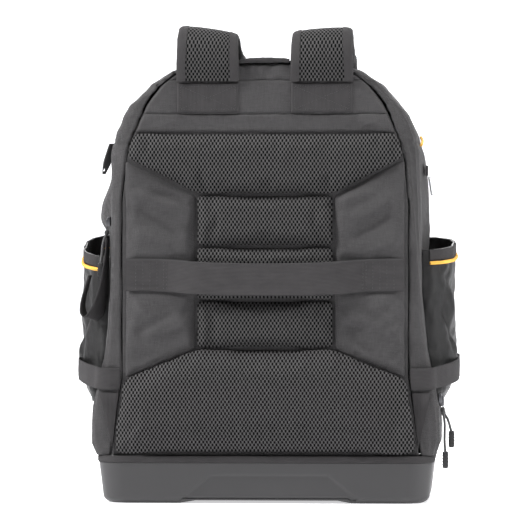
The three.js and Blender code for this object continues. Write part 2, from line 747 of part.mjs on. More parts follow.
// Fabric wing between the pads and the seam, with soft folds across it
function wing(side) {
  const innerX = CENTRE_PAD_HALF + CHANNEL;
  const rim = [
    { x: innerX, z: diagonalLow + 1 },
    { x: paddedHalf, z: LUMBAR_SHOULDER + 3 },
    { x: paddedHalf, z: UPPER_PAD_SHOULDER - WING_TOP_DROP },
    { x: innerX, z: diagonalTop - 3 },
  ].map(({ x, z }) => new THREE.Vector2(side * x, z));
  const foldAt = (z) => {
    const along = (z - rim[1].y) / (rim[2].y - rim[1].y);
    const after = Math.max(1, FOLD_ROWS.findIndex((row) => row.along >= along));
    const [from, to] = [FOLD_ROWS[after - 1], FOLD_ROWS[after]];
    return THREE.MathUtils.lerp(from.height, to.height, (along - from.along) / (to.along - from.along));
  };
  const outline = rim.flatMap((corner, i) => {
    const next = rim[(i + 1) % rim.length];
    return [0, 0.25, 0.5, 0.75].map((share) => corner.clone().lerp(next, share));
  });
  const profile = PAD_ROWS.map((row) =>
    grown(outline, -row.inset * WING_EDGE).map((point) => {
      const rise = row.out * WING_THICK * (row.inset > 0 ? foldAt(point.y) : 1);
      return new THREE.Vector3(point.x, PANEL_FACE - rise, point.y);
    }),
  );
  return loft(profile);
}

// Luggage strap: sewn flat at its ends, standing off the pads between them
function luggageStrap() {
  const sewnY = PANEL_FACE - WING_THICK * LUGGAGE_SEAT - GAP - WEB_THICK / 2;
  const freeY = PAD_FACE - LUGGAGE_GAP - WEB_THICK / 2;
  const rows = [
    { x: paddedHalf - 1, depth: 0, sag: 0 },
    { x: (paddedHalf + LUGGAGE_FREE_HALF) / 2, depth: 0, sag: 0 },
    { x: LUGGAGE_FREE_HALF, depth: 0.06, sag: 0.2 },
    { x: CENTRE_PAD_HALF, depth: 0.82, sag: 0.7 },
    { x: CENTRE_PAD_HALF / 2, depth: 0.97, sag: 0.95 },
  ];
  const place = (side) => (row) => {
    const y = THREE.MathUtils.lerp(sewnY, freeY, row.depth);
    return new THREE.Vector3(side * row.x, y, LUGGAGE_Z - LUGGAGE_SAG * row.sag);
  };
  const middle = new THREE.Vector3(0, freeY, LUGGAGE_Z - LUGGAGE_SAG);
  return band({
    points: [...rows.map(place(-1)), middle, ...rows.map(place(1)).reverse()],
    section: WEB_SECTION,
    width: () => LUGGAGE_WIDTH,
    thick: () => WEB_THICK,
    facing: () => new THREE.Vector3(0, -1, 0),
    steps: 28,
  });
}

// Shoulder strap: up from the yoke, over the body's top and down the front, where it swings outwards
function strapPoints(side) {
  const half = STRAP_THICK / 2;
  const rootY = PANEL_FACE - BAND_THICK - GAP - STRAP_ROOT_THICK / 2;
  const restZ = BODY_TOP + half + 1;
  const peakZ = BODY_TOP + STRAP_RISE;
  const faceY = FRONT_END_Y + half + 2;
  const pocketY = POCKET_END_Y + half + 1;
  const ledge = FRONT_TOP + half;
  return [
    { splay: 0, y: rootY, z: TOP_PANEL_LOW - 1 },
    { splay: 0, y: rootY - 3, z: BODY_TOP - 3 },
    { splay: 0, y: rootY - 1, z: peakZ - 13 },
    { splay: 0, y: BACK_Y + half, z: peakZ - 2 },
    { splay: 0, y: BACK_Y + 3.4 * half, z: peakZ },
    { splay: 0, y: BACK_Y + 7 * half, z: peakZ - 6 },
    { splay: 0, y: MAIN_START_Y + 6 * half, z: restZ + 5 },
    { splay: 0, y: MAIN_END_Y - 5 * half, z: restZ },
    { splay: 0, y: MAIN_END_Y, z: restZ - 3 },
    { splay: 0, y: MAIN_END_Y + 3 * half, z: (restZ + ledge) / 2 + 5 },
    { splay: 0, y: FRONT_END_Y - half, z: ledge + 8 },
    { splay: 0, y: faceY, z: ledge - 3 * half },
    { splay: 0.03, y: faceY + 2, z: ledge - STRAP_FACE_DROP },
    { splay: 0.12, y: faceY + 3, z: POCKET_HIGH + STRAP_ABOVE_POCKET },
    { splay: 0.2, y: (faceY + pocketY) / 2 + 4, z: POCKET_HIGH + 14 },
    { splay: 0.32, y: pocketY + 0.5, z: POCKET_HIGH - 12 },
    { splay: 0.62, y: pocketY, z: (POCKET_HIGH + STRAP_END_Z) / 2 - 6 },
    { splay: 1, y: pocketY, z: STRAP_END_Z },
  ].map(({ splay, y, z }) => new THREE.Vector3(side * (STRAP_X + STRAP_SPLAY * splay), y, z));
}

function shoulderStrap({ side, roll }) {
  const { smoothstep, degToRad } = THREE.MathUtils;
  const centre = new THREE.Vector3(0, (BACK_Y + FRONT_END_Y) / 2, FRONT_TOP);
  const narrowing = (share) => (STRAP_WIDTH - STRAP_TOP_WIDTH) * smoothstep(share, 0, 0.12);
  const taper = (share) => (STRAP_TOP_WIDTH - STRAP_END_WIDTH) * smoothstep(share, 0.5, 1);
  const padding = (share) => (STRAP_THICK - STRAP_ROOT_THICK) * smoothstep(share, 0, 0.05);
  const rolled = (share) => smoothstep(share, 0.02, 0.1) * (1 - smoothstep(share, 0.16, 0.3));
  return band({
    points: strapPoints(side),
    section: STRAP_SECTION,
    width: (share) => STRAP_WIDTH - narrowing(share) - taper(share),
    thick: (share) => STRAP_ROOT_THICK + padding(share),
    facing: (at) => new THREE.Vector3(0, at.y - centre.y, Math.max(0, at.z - centre.z)).normalize(),
    roll: (share) => -side * degToRad(roll) * rolled(share),
    steps: 34,
  });
}

// Ladder lock at the strap's lower end: a flat frame with two slots
function ladderLock(side) {
  const points = strapPoints(side);
  const end = points.at(-1);
  const heading = end.clone().sub(points.at(-2)).setY(0).normalize();
  const slotHalf = LOCK_WIDTH / 2 - LOCK_BAR;
  const frame = block(-LOCK_WIDTH / 2, LOCK_WIDTH / 2, -LOCK_THICK / 2, LOCK_THICK / 2, 0, LOCK_LENGTH);
  const slotLength = (LOCK_LENGTH - 3 * LOCK_BAR) / 2;
  const slots = [0, 1].map((k) => {
    const low = LOCK_BAR + k * (slotLength + LOCK_BAR);
    return block(-slotHalf, slotHalf, -LOCK_THICK, LOCK_THICK, low, low + slotLength);
  });
  const lock = cut(frame, ...slots);
  lock.rotateY(Math.atan2(heading.x, heading.z));
  const clear = end.clone().addScaledVector(heading, STRAP_THICK / 8 + GAP);
  lock.translate(clear.x, clear.y, clear.z);
  return lock;
}

// Outward direction at a point beside the body
function awayFromBody(at) {
  const x = at.x / SIDE_REACH;
  const y = (at.y - BASE_CENTRE_Y) / (POCKET_END_Y - BASE_CENTRE_Y);
  return new THREE.Vector3(x ** 3, y ** 3, 0).normalize();
}

function sideWebbing(side) {
  const end = strapPoints(side).at(-1);
  const heading = end.clone().sub(strapPoints(side).at(-2)).setY(0).normalize();
  const lock = end.clone().addScaledVector(heading, STRAP_THICK / 8 + 2 * GAP + LOCK_LENGTH);
  const beyondLock = lock.clone().addScaledVector(heading, WEB_WIDTH / 2);
  const clearX = SIDE_REACH + WEB_THICK / 2 + 1;
  const cornerX = bodyHalfAt(WEB_TAB_Z);
  const proud = WEB_THICK / 2 + GAP + 1.6;
  const points = [
    new THREE.Vector3(side * (SEAM_HALF + 3), BACK_Y - WEB_THICK / 2 - 2 * GAP, WEB_TAB_Z),
    new THREE.Vector3(side * (cornerX - WEB_TURN), BACK_Y - proud, WEB_TAB_Z),
    new THREE.Vector3(side * cornerX, BACK_Y + 1, WEB_TAB_Z + 1),
    new THREE.Vector3(side * (cornerX + 5), BACK_Y + GUSSET_ROUNDING, WEB_TAB_Z + 2),
    new THREE.Vector3(side * (SIDE_REACH - 8), SIDE_CENTRE_Y - SIDE_HALF_LENGTH - 4, WEB_SIDE_Z - 6),
    new THREE.Vector3(side * clearX, SIDE_CENTRE_Y - SIDE_HALF_LENGTH * 0.6, WEB_SIDE_Z - 2),
    new THREE.Vector3(side * clearX, SIDE_CENTRE_Y, WEB_SIDE_Z),
    new THREE.Vector3(side * clearX, SIDE_CENTRE_Y + SIDE_HALF_LENGTH * 0.6, WEB_SIDE_Z + 2),
    new THREE.Vector3(side * (SIDE_REACH - WEB_TURN), MAIN_END_Y + WEB_BEYOND_MAIN, WEB_SIDE_Z + 4),
    new THREE.Vector3(side * (FRONT_HALF + WEB_TURN), FRONT_END_Y + 2, WEB_SIDE_Z + 2),
    beyondLock,
    lock,
  ];
  return band({
    points,
    section: WEB_SECTION,
    width: () => WEB_WIDTH,
    thick: () => WEB_THICK,
    facing: awayFromBody,
    steps: 30,
  });
}

// Triangular tab that ties the webbing's sewn end to the body's lower corner
function cornerTab(side) {
  const faceY = BACK_Y - GAP;
  const nearX = SEAM_HALF + 4;
  const lowX = LUMBAR_HALF + 1;
  const high = WEB_TAB_Z - WEB_WIDTH / 2 - 3;
  const outline = [
    { x: nearX, z: high },
    { x: lowX - 2, z: TAB_LOW_Z + TAB_INNER_RISE },
    { x: lowX, z: TAB_LOW_Z },
    { x: lowX + TAB_OUTER_REACH, z: TAB_LOW_Z + TAB_OUTER_RISE },
    { x: nearX + TAB_WIDTH, z: high },
  ].map(({ x, z }) => new THREE.Vector2(side * x, z));
  return uprightLoft([
    { outline, y: faceY },
    { outline, y: faceY - WEB_THICK },
  ]);
}

// Half width of an arch at a height
function halfWidthAt(outline, z) {
  const rightSide = outline.filter((point) => point.x > 0);
  const above = rightSide.findLastIndex((point) => point.y >= z);
  const high = rightSide[above];
  const low = rightSide[Math.min(above + 1, rightSide.length - 1)];
  return THREE.MathUtils.lerp(low.x, high.x, (z - low.y) / Math.max(1, high.y - low.y));
}

const bodyHalfAt = (z) => halfWidthAt(bodyArch(), z);

// Where a piece on the body's side lies clear of its wall, which swells between its edges
function besideBody(z, y) {
  const middle = (MAIN_START_Y + MAIN_END_Y - MAIN_ROUNDING) / 2;
  const half = middle - MAIN_START_Y;
  const share = THREE.MathUtils.clamp(1 - Math.abs(y - middle) / half, 0, 1);
  return THREE.MathUtils.lerp(bodyHalfAt(z), halfWidthAt(swollenArch(), z), share) + 2 * GAP;
}

const POCKET_SPREAD = [-1, -0.97, -0.86, -0.6, -0.2, 0.2, 0.6, 0.86, 0.97, 1];
const rimAt = (rim, y) => {
  const share = (y - SIDE_CENTRE_Y + SIDE_HALF_LENGTH) / (2 * SIDE_HALF_LENGTH);
  return THREE.MathUtils.lerp(rim.back, rim.front, share);
};
// How far the pocket reaches out at each place along its length
const reachShare = (spread) => (1 - Math.abs(spread) ** 3.2) ** 0.6;

function pocketRing(rim, up, reach, grow, inside) {
  return POCKET_SPREAD.map((spread) => {
    const y = SIDE_CENTRE_Y + spread * (SIDE_HALF_LENGTH + grow);
    const z = THREE.MathUtils.lerp(SIDE_LOW, rimAt(rim, y), up);
    const wall = besideBody(z, y) - (inside ? SIDE_WALL + HOLLOW_BEYOND : 0);
    const x = wall + Math.max(0, reach + grow - wall) * reachShare(spread);
    return new THREE.Vector3(rim.side * x, y, z);
  });
}

// The same ring closed along the body's wall, or inside that wall where the hollow is cut
function closedPocketRing(rim, up, reach, grow, inside) {
  const outer = pocketRing(rim, up, reach, grow, inside);
  const wall = [0.7, 0.35, -0.13, -0.35, -0.7].map((spread) => {
    const y = SIDE_CENTRE_Y + spread * SIDE_HALF_LENGTH;
    const z = THREE.MathUtils.lerp(SIDE_LOW, rimAt(rim, y), up);
    const x = besideBody(z, y) - (inside ? 2 * SIDE_WALL + HOLLOW_BEYOND : 0);
    return new THREE.Vector3(rim.side * x, y, z);
  });
  return [...outer, ...wall];
}

// Heights up the pocket, how far its wall has left the body, and how far it has drawn in towards the rim
const POCKET_ROWS = [
  { up: 0, out: 0, drawn: 0 },
  { up: 0.08, out: 0.6, drawn: 0 },
  { up: 0.2, out: 1, drawn: 0 },
  { up: 0.45, out: 1, drawn: 0 },
  { up: 0.75, out: 1, drawn: 0.7 },
  { up: 1, out: 1, drawn: 1 },
];

function sidePocket(rim) {
  const reachAt = (row) => {
    const wall = besideBody(SIDE_LOW + row.up * (rim.back - SIDE_LOW), SIDE_CENTRE_Y);
    const full = THREE.MathUtils.lerp(SIDE_REACH, SIDE_REACH_TOP, row.drawn);
    return THREE.MathUtils.lerp(wall + SIDE_WALL + 1, full, row.out);
  };
  const outside = loft(POCKET_ROWS.map((row) => closedPocketRing(rim, row.up, reachAt(row), 0, false)));
  const hollowRows = POCKET_ROWS.filter((row) => row.up > 0);
  const hollow = hollowRows.map((row) => closedPocketRing(rim, row.up, reachAt(row), -SIDE_WALL, true));
  const above = hollow.at(-1).map((point) => point.clone().setZ(point.z + 2));
  return cut(outside, loft([...hollow, above]));
}

// Points round the pocket's rim, outside its wall
function rimPoints(rim, drop, out) {
  return POCKET_SPREAD.slice(1, -1).map((spread) => {
    const y = SIDE_CENTRE_Y + spread * (SIDE_HALF_LENGTH + out);
    const wall = besideBody(rim.back - drop, y);
    const x = wall + (SIDE_REACH_TOP + out - wall) * reachShare(spread);
    return new THREE.Vector3(rim.side * x, y, rimAt(rim, y) - drop);
  });
}

const awayFromPocket = (rim) => (at) =>
  new THREE.Vector3(rim.side * 0.6, ((at.y - SIDE_CENTRE_Y) / SIDE_HALF_LENGTH) ** 3, 0).normalize();

const pocketBinding = (rim) =>
  band({
    points: rimPoints(rim, SIDE_BINDING / 2, WEB_THICK / 2 + 2 * GAP),
    section: WEB_SECTION,
    width: () => SIDE_BINDING,
    thick: () => WEB_THICK,
    facing: awayFromPocket(rim),
    steps: 16,
  });

function pocketPiping(rim) {
  const route = rimPoints(rim, SIDE_BINDING + PIPING / 2 + 1, PIPING / 2 + 2 * GAP);
  return tube(route, PIPING, 16);
}

// A zip slider with a looped cord and a moulded grip hanging from it
function zipPull(row) {
  const { side, z } = row;
  const y = BACK_Y + row.depth * GUSSET_DEPTH;
  const hang = row.hang * PULL_HANG;
  const lean = row.lean * PULL_LEAN;
  const x = besideBody(z - SLIDER_LENGTH / 2, y) + SLIDER_THICK / 2;
  const span = (middle, half, low, high, thick) =>
    block(middle - thick / 2, middle + thick / 2, y - half, y + half, low, high);
  const slider = span(x, SLIDER_WIDTH / 2, z - SLIDER_LENGTH / 2, z + SLIDER_LENGTH / 2, SLIDER_THICK);
  const gripTop = z - hang + PULL_GRIP_LENGTH;
  const grip = span(x + lean, PULL_GRIP_WIDTH / 2, z - hang, gripTop, PULL_GRIP_THICK);
  const cords = [-1, 1].map((strand) => {
    const lie = (share, spread, at) => new THREE.Vector3(x + lean * share, y + strand * spread, at);
    const start = lie(0.1, 0.4, z - SLIDER_LENGTH / 3);
    const middle = lie(0.8, PULL_GRIP_WIDTH / 3, (z + gripTop) / 2);
    return tube([start, middle, lie(1, 0.6, gripTop - 1)], PULL_CORD, 6, 6);
  });
  const whole = join(slider, grip, ...cords);
  return side > 0 ? whole : outward(whole.scale(-1, 1, 1));
}

// Flat tapered tab on the main zip's slider at the upper left
function upperPullTab() {
  const y = (BACK_Y + GUSSET_END_Y) / 2 + UPPER_TAB_FORWARD;
  const low = UPPER_TAB_Z - UPPER_TAB_LENGTH;
  const x = -(besideBody(low, y) + UPPER_TAB_THICK / 2);
  const rows = [
    { across: UPPER_TAB_HALF, z: UPPER_TAB_Z },
    { across: UPPER_TAB_HALF, z: low + UPPER_TAB_LENGTH * 0.4 },
    { across: UPPER_TAB_TIP_HALF, z: low },
  ];
  return loft(
    rows.map(({ across, z }) =>
      flat(roundedRectangle(UPPER_TAB_THICK / 2, across, 1, x, y, 2), z),
    ),
  );
}

const RING_Y = MAIN_START_Y + RING_FORWARD;
const ringX = besideBody(RING_TAB_Z - RING_LENGTH, RING_Y + RING_WIDTH / 2);

function ringTab() {
  const half = RING_TAB_WIDTH / 2;
  const top = RING_TAB_Z + RING_TAB_LENGTH;
  return block(ringX, ringX + RING_TAB_THICK, RING_Y - half, RING_Y + half, RING_TAB_Z, top);
}

function toolRing() {
  const x = ringX + RING_TAB_THICK / 2;
  const high = RING_TAB_Z - GAP;
  const frame = (thick, inset) => {
    const half = RING_WIDTH / 2 - inset;
    const low = high - RING_LENGTH + inset;
    return block(x - thick, x + thick, RING_Y - half, RING_Y + half, low, high - inset);
  };
  return cut(frame(RING_BAR / 2, 0), frame(RING_BAR, RING_BAR));
}

// Yellow piping that runs forwards on the right shoulder
function accentPiping() {
  const points = [0, 0.25, 0.5, 0.75, 1].map((share) => {
    const z = ACCENT_Z + ACCENT_RISE * share;
    const y = MAIN_START_Y + ACCENT_FORWARD + ACCENT_LENGTH * share;
    return new THREE.Vector3(besideBody(z, y) + PIPING / 2, y, z);
  });
  return tube(points, PIPING * 0.8, 8);
}

piece("base_tray", baseTray(), MOULDED_PLASTIC);
piece("base_binding", rimBinding(), BINDING_CLOTH);
piece(
  "back_panel",
  uprightLoft([
    { outline: seamArch(), y: BACK_Y },
    { outline: seamArch(), y: BACK_Y + PANEL_THICK },
  ]),
  BODY_CLOTH,
);
piece("back_gusset", backGusset(), BODY_CLOTH);
piece("main_zip", mainZip(), ZIP_COIL);
piece(
  "main_compartment",
  compartment(bodyArch, swollenArch(), MAIN_START_Y, MAIN_END_Y, MAIN_ROUNDING),
  BODY_CLOTH,
);
piece(
  "front_compartment",
  compartment(frontArch, frontArch(FRONT_SWELL), MAIN_END_Y + GAP, FRONT_END_Y, FRONT_ROUNDING),
  BODY_CLOTH,
);
piece("front_pocket", frontPocket(), BODY_CLOTH);
piece("top_trim", topTrim(), BINDING_CLOTH);
piece("top_panel", panelBand(TOP_PANEL_LOW, TOP_PANEL_HIGH, TOP_PANEL_HALF, BAND_THICK), BODY_CLOTH);
piece("yoke_band", panelBand(YOKE_LOW, TOP_PANEL_LOW - GAP, BODY_TOP, BAND_THICK), BODY_CLOTH);
piece("lower_band", panelBand(LOWER_BAND_LOW, YOKE_LOW - GAP, BODY_TOP, BAND_THICK), BODY_CLOTH);
piece("upper_pad", pad(upperPadOutline, UPPER_PAD_CORNER, UPPER_PAD_THICK, UPPER_PAD_EDGE), MESH_CLOTH);
CENTRE_PADS.forEach((row) => piece(row.name, centrePad(row), MESH_CLOTH));
piece("lumbar_pad", pad(lumbarOutline, LUMBAR_CORNER, LUMBAR_THICK, LUMBAR_EDGE), MESH_CLOTH);
piece("luggage_strap", luggageStrap(), WEBBING);
SIDES.forEach((rim) => {
  const { side, name } = rim;
  piece(`wing_${name}`, wing(side), BODY_CLOTH);
  piece(`strap_patch_${name}`, strapPatch(side), WEBBING);
  piece(`shoulder_strap_${name}`, shoulderStrap(rim), MESH_CLOTH);
  piece(`ladder_lock_${name}`, ladderLock(side), RUBBER);
  piece(`side_webbing_${name}`, sideWebbing(side), WEBBING);
  piece(`corner_tab_${name}`, cornerTab(side), WEBBING);
  piece(`side_pocket_${name}`, sidePocket(rim), COATED_CLOTH);
  piece(`pocket_binding_${name}`, pocketBinding(rim), BINDING_CLOTH);
  piece(`pocket_piping_${name}`, pocketPiping(rim), PIPING_YELLOW);
});
PULLS.forEach((row) => piece(row.name, zipPull(row), RUBBER));
piece("upper_pull_tab", upperPullTab(), RUBBER);
piece("ring_tab", ringTab(), WEBBING);
piece("tool_ring", toolRing(), STEEL);
piece("accent_piping", accentPiping(), PIPING_YELLOW);

export default bag;
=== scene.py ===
# %% [markdown]
# A tool backpack seen from its harness side: padded mesh against the wearer's back, a woven body,
# side pockets with a yellow piping, and a rigid moulded base that it stands on. This lesson builds the
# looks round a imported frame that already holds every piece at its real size. A looser start would be to
# model by eye, but a frame keeps each cloth skin where the real one lies.

# %% Load the frame
import math
import bmesh
import bpy
import numpy as np
from mathutils import Matrix, Vector, noise
from mathutils.bvhtree import BVHTree


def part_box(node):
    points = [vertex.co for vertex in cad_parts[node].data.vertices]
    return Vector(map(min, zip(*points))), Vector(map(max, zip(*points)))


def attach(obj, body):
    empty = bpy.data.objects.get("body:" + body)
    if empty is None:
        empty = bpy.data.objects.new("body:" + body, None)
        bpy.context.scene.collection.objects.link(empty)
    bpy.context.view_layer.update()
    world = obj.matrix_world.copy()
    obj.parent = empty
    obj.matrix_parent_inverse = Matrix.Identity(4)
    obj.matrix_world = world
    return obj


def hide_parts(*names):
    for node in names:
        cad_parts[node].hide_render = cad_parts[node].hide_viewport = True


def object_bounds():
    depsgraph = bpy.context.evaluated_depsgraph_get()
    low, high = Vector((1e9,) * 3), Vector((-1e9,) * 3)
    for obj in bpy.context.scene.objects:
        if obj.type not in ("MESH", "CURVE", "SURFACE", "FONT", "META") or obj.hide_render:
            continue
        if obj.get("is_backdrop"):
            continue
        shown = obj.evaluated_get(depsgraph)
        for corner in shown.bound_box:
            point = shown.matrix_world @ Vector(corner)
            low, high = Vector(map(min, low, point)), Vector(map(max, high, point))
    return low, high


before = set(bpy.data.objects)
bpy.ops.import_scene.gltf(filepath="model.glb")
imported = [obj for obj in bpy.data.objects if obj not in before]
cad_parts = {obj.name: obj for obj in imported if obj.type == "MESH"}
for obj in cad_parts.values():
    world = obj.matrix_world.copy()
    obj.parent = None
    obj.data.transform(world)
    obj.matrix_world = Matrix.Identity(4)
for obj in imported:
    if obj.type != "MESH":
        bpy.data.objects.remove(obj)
frame_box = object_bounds()
MM = 0.001
print("nodes in the frame:", len(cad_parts))

# %% [markdown]
# The camera stands five metres away with a long lens, almost square to the back, so that upright edges
# stay parallel as in a catalogue picture. It is turned by a few degrees, which shows a little more of
# one side. A short lens close by would make the lumbar pad bulge and the pockets shrink.

# %% Camera
PICTURE_WIDTH = 599 * MM  # what the picture spans at the back panel
CAMERA_DISTANCE = 5.0
CAMERA_AZIMUTH = math.radians(3.2)
CAMERA_ELEVATION = math.radians(0.6)
SENSOR = 36.0
BACK_Y = -106 * MM
aim = Vector((0.0, BACK_Y, 270 * MM))

towards_camera = Vector((
    math.sin(CAMERA_AZIMUTH) * math.cos(CAMERA_ELEVATION),
    -math.cos(CAMERA_AZIMUTH) * math.cos(CAMERA_ELEVATION),
    math.sin(CAMERA_ELEVATION),
))
camera_data = bpy.data.cameras.new("camera")
camera_data.sensor_width = SENSOR
camera_data.lens = SENSOR * CAMERA_DISTANCE / PICTURE_WIDTH
camera_data.clip_end = 30
camera = bpy.data.objects.new("camera", camera_data)
camera.location = aim + CAMERA_DISTANCE * towards_camera
camera.rotation_mode = "QUATERNION"
camera.rotation_quaternion = (-towards_camera).to_track_quat("-Z", "Y")
bpy.context.collection.objects.link(camera)
bpy.context.scene.camera = camera
print("lens", round(camera_data.lens), "mm")

# %% [markdown]
# Dark cloth needs light that grazes it, or its weave and folds disappear. A soft light stands high on
# the left, a weaker one on the right keeps the shaded side readable, one above lights the straps and
# one behind lights the far side. A faint white surround fills the rest. Colours are shown by the
# standard transform, because the filmic ones lift dark cloth to a flat grey.

# %% Studio light
LIT_POINT = Vector((0, 0, 270 * MM))


def area_light(name, place, size, power):
    data = bpy.data.lights.new(name, "AREA")
    data.size = size
    data.energy = power
    light = bpy.data.objects.new(name, data)
    light.location = place
    light.rotation_mode = "QUATERNION"
    light.rotation_quaternion = (LIT_POINT - Vector(place)).to_track_quat("-Z", "Y")
    bpy.context.collection.objects.link(light)


area_light("key", (-2.2, -0.95, 2.1), 0.6, 132)
area_light("fill", (2.6, -0.45, 1.1), 0.6, 52)
area_light("top", (0.2, -0.7, 2.6), 0.7, 40)
area_light("rim", (0.0, 2.4, 1.6), 2.0, 48)

surround = bpy.data.worlds.new("surround")
surround.use_nodes = True
surround_colour = surround.node_tree.nodes["Background"]
surround_colour.inputs["Color"].default_value = (1.0, 1.0, 1.0, 1)
surround_colour.inputs["Strength"].default_value = 0.28
bpy.context.scene.world = surround
bpy.context.scene.view_settings.view_transform = "Standard"

# %% [markdown]
# Shader maths reads badly as a chain of node calls. A small class wraps a socket, so that an
# expression such as 1 - mask adds its Math nodes by itself. One method makes any other node from its
# type, its settings and its inputs, which keeps every finish below short.

# %% A value in a shader
class Value:
    """A socket of a finish; Python's operators on it add the Math nodes."""

    def __init__(self, finish, socket):
        self.finish = finish
        self.socket = socket

    def math(self, operation, *others):
        return self.finish.math(operation, self, *others)

    def __add__(self, other):
        return self.math("ADD", other)

    __radd__ = __add__

    def __sub__(self, other):
        return self.math("SUBTRACT", other)

    def __rsub__(self, other):
        return self.finish.math("SUBTRACT", other, self)

    def __mul__(self, other):
        return self.math("MULTIPLY", other)

    __rmul__ = __mul__

    def __truediv__(self, other):
        return self.math("DIVIDE", other)

    def __mod__(self, other):
        return self.math("FLOORED_MODULO", other)

    def __abs__(self):
        return self.math("ABSOLUTE")

    def __gt__(self, other):
        return self.math("GREATER_THAN", other)

    def floor(self):
        return self.math("FLOOR")

    def sine(self):
        return self.math("SINE")

    def highest(self, other):
        return self.math("MAXIMUM", other)

    def step(self, low, high):
        """0 below low, 1 above high, and smooth between them."""
        settings = {"interpolation_type": "SMOOTHSTEP"}
        limits = {"Value": self, "From Min": low, "From Max": high}
        return self.finish.node("ShaderNodeMapRange", settings, limits)


# %% [markdown]
# A finish is one material. Its methods add the textures, mix two colours and give relief, and they are
# connected only to the sockets that vary over a piece. Colours are written as a screen shows them.

# %% A finish and its nodes
def linear(red, green, blue):
    """Shader colour of an 8-bit screen colour."""
    def channel(value):
        share = value / 255
        return share / 12.92 if share <= 0.04045 else ((share + 0.055) / 1.055) ** 2.4
    return (channel(red), channel(green), channel(blue), 1.0)


class Finish:
    """A material that is built up from values."""

    def __init__(self, name, roughness=0.8, metallic=0.0, sheen=0.0, specular=0.5, coat=0.0):
        self.material = bpy.data.materials.new(name)
        self.material.use_nodes = True
        self.tree = self.material.node_tree
        self.shader = self.tree.nodes["Principled BSDF"]
        self.shader.inputs["Roughness"].default_value = roughness
        self.shader.inputs["Metallic"].default_value = metallic
        self.shader.inputs["Sheen Weight"].default_value = sheen
        self.shader.inputs["Sheen Roughness"].default_value = 0.55
        self.shader.inputs["Specular IOR Level"].default_value = specular
        self.shader.inputs["Coat Weight"].default_value = coat

    def node(self, kind, settings=None, inputs=None, output=0):
        made = self.tree.nodes.new(kind)
        for name, setting in (settings or {}).items():
            setattr(made, name, setting)
        for name, value in (inputs or {}).items():
            if isinstance(value, Value):
                self.tree.links.new(value.socket, made.inputs[name])
            else:
                made.inputs[name].default_value = value
        return Value(self, made.outputs[output])

    def math(self, operation, *values):
        return self.node("ShaderNodeMath", {"operation": operation}, dict(enumerate(values)))

    def place(self, kind="Object"):
        """X, Y and Z of the point, in metres: on the object, or along its own UV map."""
        vector = self.node("ShaderNodeTexCoord", output=kind)
        return [self.node("ShaderNodeSeparateXYZ", inputs={0: vector}, output=k) for k in range(3)]

    def vector(self, x, y, z=0.0):
        return self.node("ShaderNodeCombineXYZ", inputs={0: x, 1: y, 2: z})

    def noise(self, x, y, z=0.0, detail=2.0):
        inputs = {"Vector": self.vector(x, y, z), "Scale": 1.0, "Detail": detail}
        return self.node("ShaderNodeTexNoise", inputs=inputs)

    def mix(self, share, first, second):
        """Colour between two colours."""
        return self.node("ShaderNodeMix", {"data_type": "RGBA"}, {0: share, 6: first, 7: second}, 2)

    def bump(self, height, distance):
        """Relief of a height between 0 and 1, over a real distance in metres."""
        inputs = {"Height": height, "Distance": distance, "Strength": 1.0}
        self.connect("Normal", self.node("ShaderNodeBump", inputs=inputs))

    def connect(self, socket, value):
        self.tree.links.new(value.socket, self.shader.inputs[socket])

# %% [markdown]
# The body is a heavy plain weave of dark grey yarn. Each thread passes over one and under the next, so a
# thread's height is a half sine that is hidden in every second square. Yarns differ slightly in shade, which
# gives such cloth its heathered look, and the tops of the threads are painted lighter than the hollows
# between them, which is painted shade. Object coordinates carry the pattern over seams, and depth is folded
# into both directions so that the side walls are woven too.

# %% Woven body cloth
THREAD = 0.95 * MM


def weave(finish, across, along, thread):
    """Height of a plain weave from 0 to 1, and the shade of the yarn that shows."""
    column = across / thread
    row = along / thread
    over = ((column.floor() + row.floor()) % 2) > 0.5
    warp = abs((column * math.pi).sine())
    weft = abs((row * math.pi).sine())
    height = over * warp + (1 - over) * weft
    warp_shade = finish.noise(column.floor() * 0.71, along * 90, 1.0)
    weft_shade = finish.noise(across * 90, row.floor() * 0.71, 5.0)
    return height, over * warp_shade + (1 - over) * weft_shade


def woven(finish, thread):
    """Place of the point, and the height and yarn of a weave in which depth is folded into both ways."""
    x, y, z = finish.place()
    return (x, y, z, *weave(finish, x + y * 0.62, z + y * 0.48, thread))


def cloth_finish(name, dark, light):
    finish = Finish(name, sheen=0.06, specular=0.4)
    x, y, z, height, yarn = woven(finish, THREAD)
    worn = finish.noise(x * 14, y * 14, z * 14, detail=4.0)
    # Colour from the yarn's own shade and random wear, plus the thread height: tops painted lighter, hollows
    # darker, as painted shade between the threads.
    shade = (yarn * 0.75 + height * 0.35 + worn * 0.35 - 0.3).step(0.0, 1.0)
    finish.connect("Base Color", finish.mix(shade, dark, light))
    finish.connect("Roughness", 0.82 + 0.1 * worn - 0.12 * height)
    finish.bump(height * 0.7 + yarn * 0.3, 0.45 * MM)
    return finish


body_cloth = cloth_finish("body_cloth", linear(23, 22, 23), linear(71, 69, 70))
print("thread of the body cloth:", THREAD / MM, "mm")

# %% [markdown]
# The side pockets are a coated cloth: the same yarn under a thin skin, which fills the gaps and throws
# a broader, softer shine. A lower relief and a lower roughness say that better than a new pattern.

# %% Coated cloth
COATED_THREAD = 0.8 * MM


def coated_finish(name, dark, light):
    finish = Finish(name, specular=0.3)
    x, y, z, height, yarn = woven(finish, COATED_THREAD)
    crease = finish.noise(x * 30, y * 30, z * 30, detail=5.0)
    shade = (yarn * 0.4 + crease * 0.6).step(0.2, 0.85)
    finish.connect("Base Color", finish.mix(shade, dark, light))
    finish.connect("Roughness", 0.34 + 0.2 * crease)
    finish.bump(height * 0.35 + crease * 0.5, 0.35 * MM)
    return finish


coated_cloth = coated_finish("coated_cloth", linear(9, 9, 9), linear(29, 28, 29))
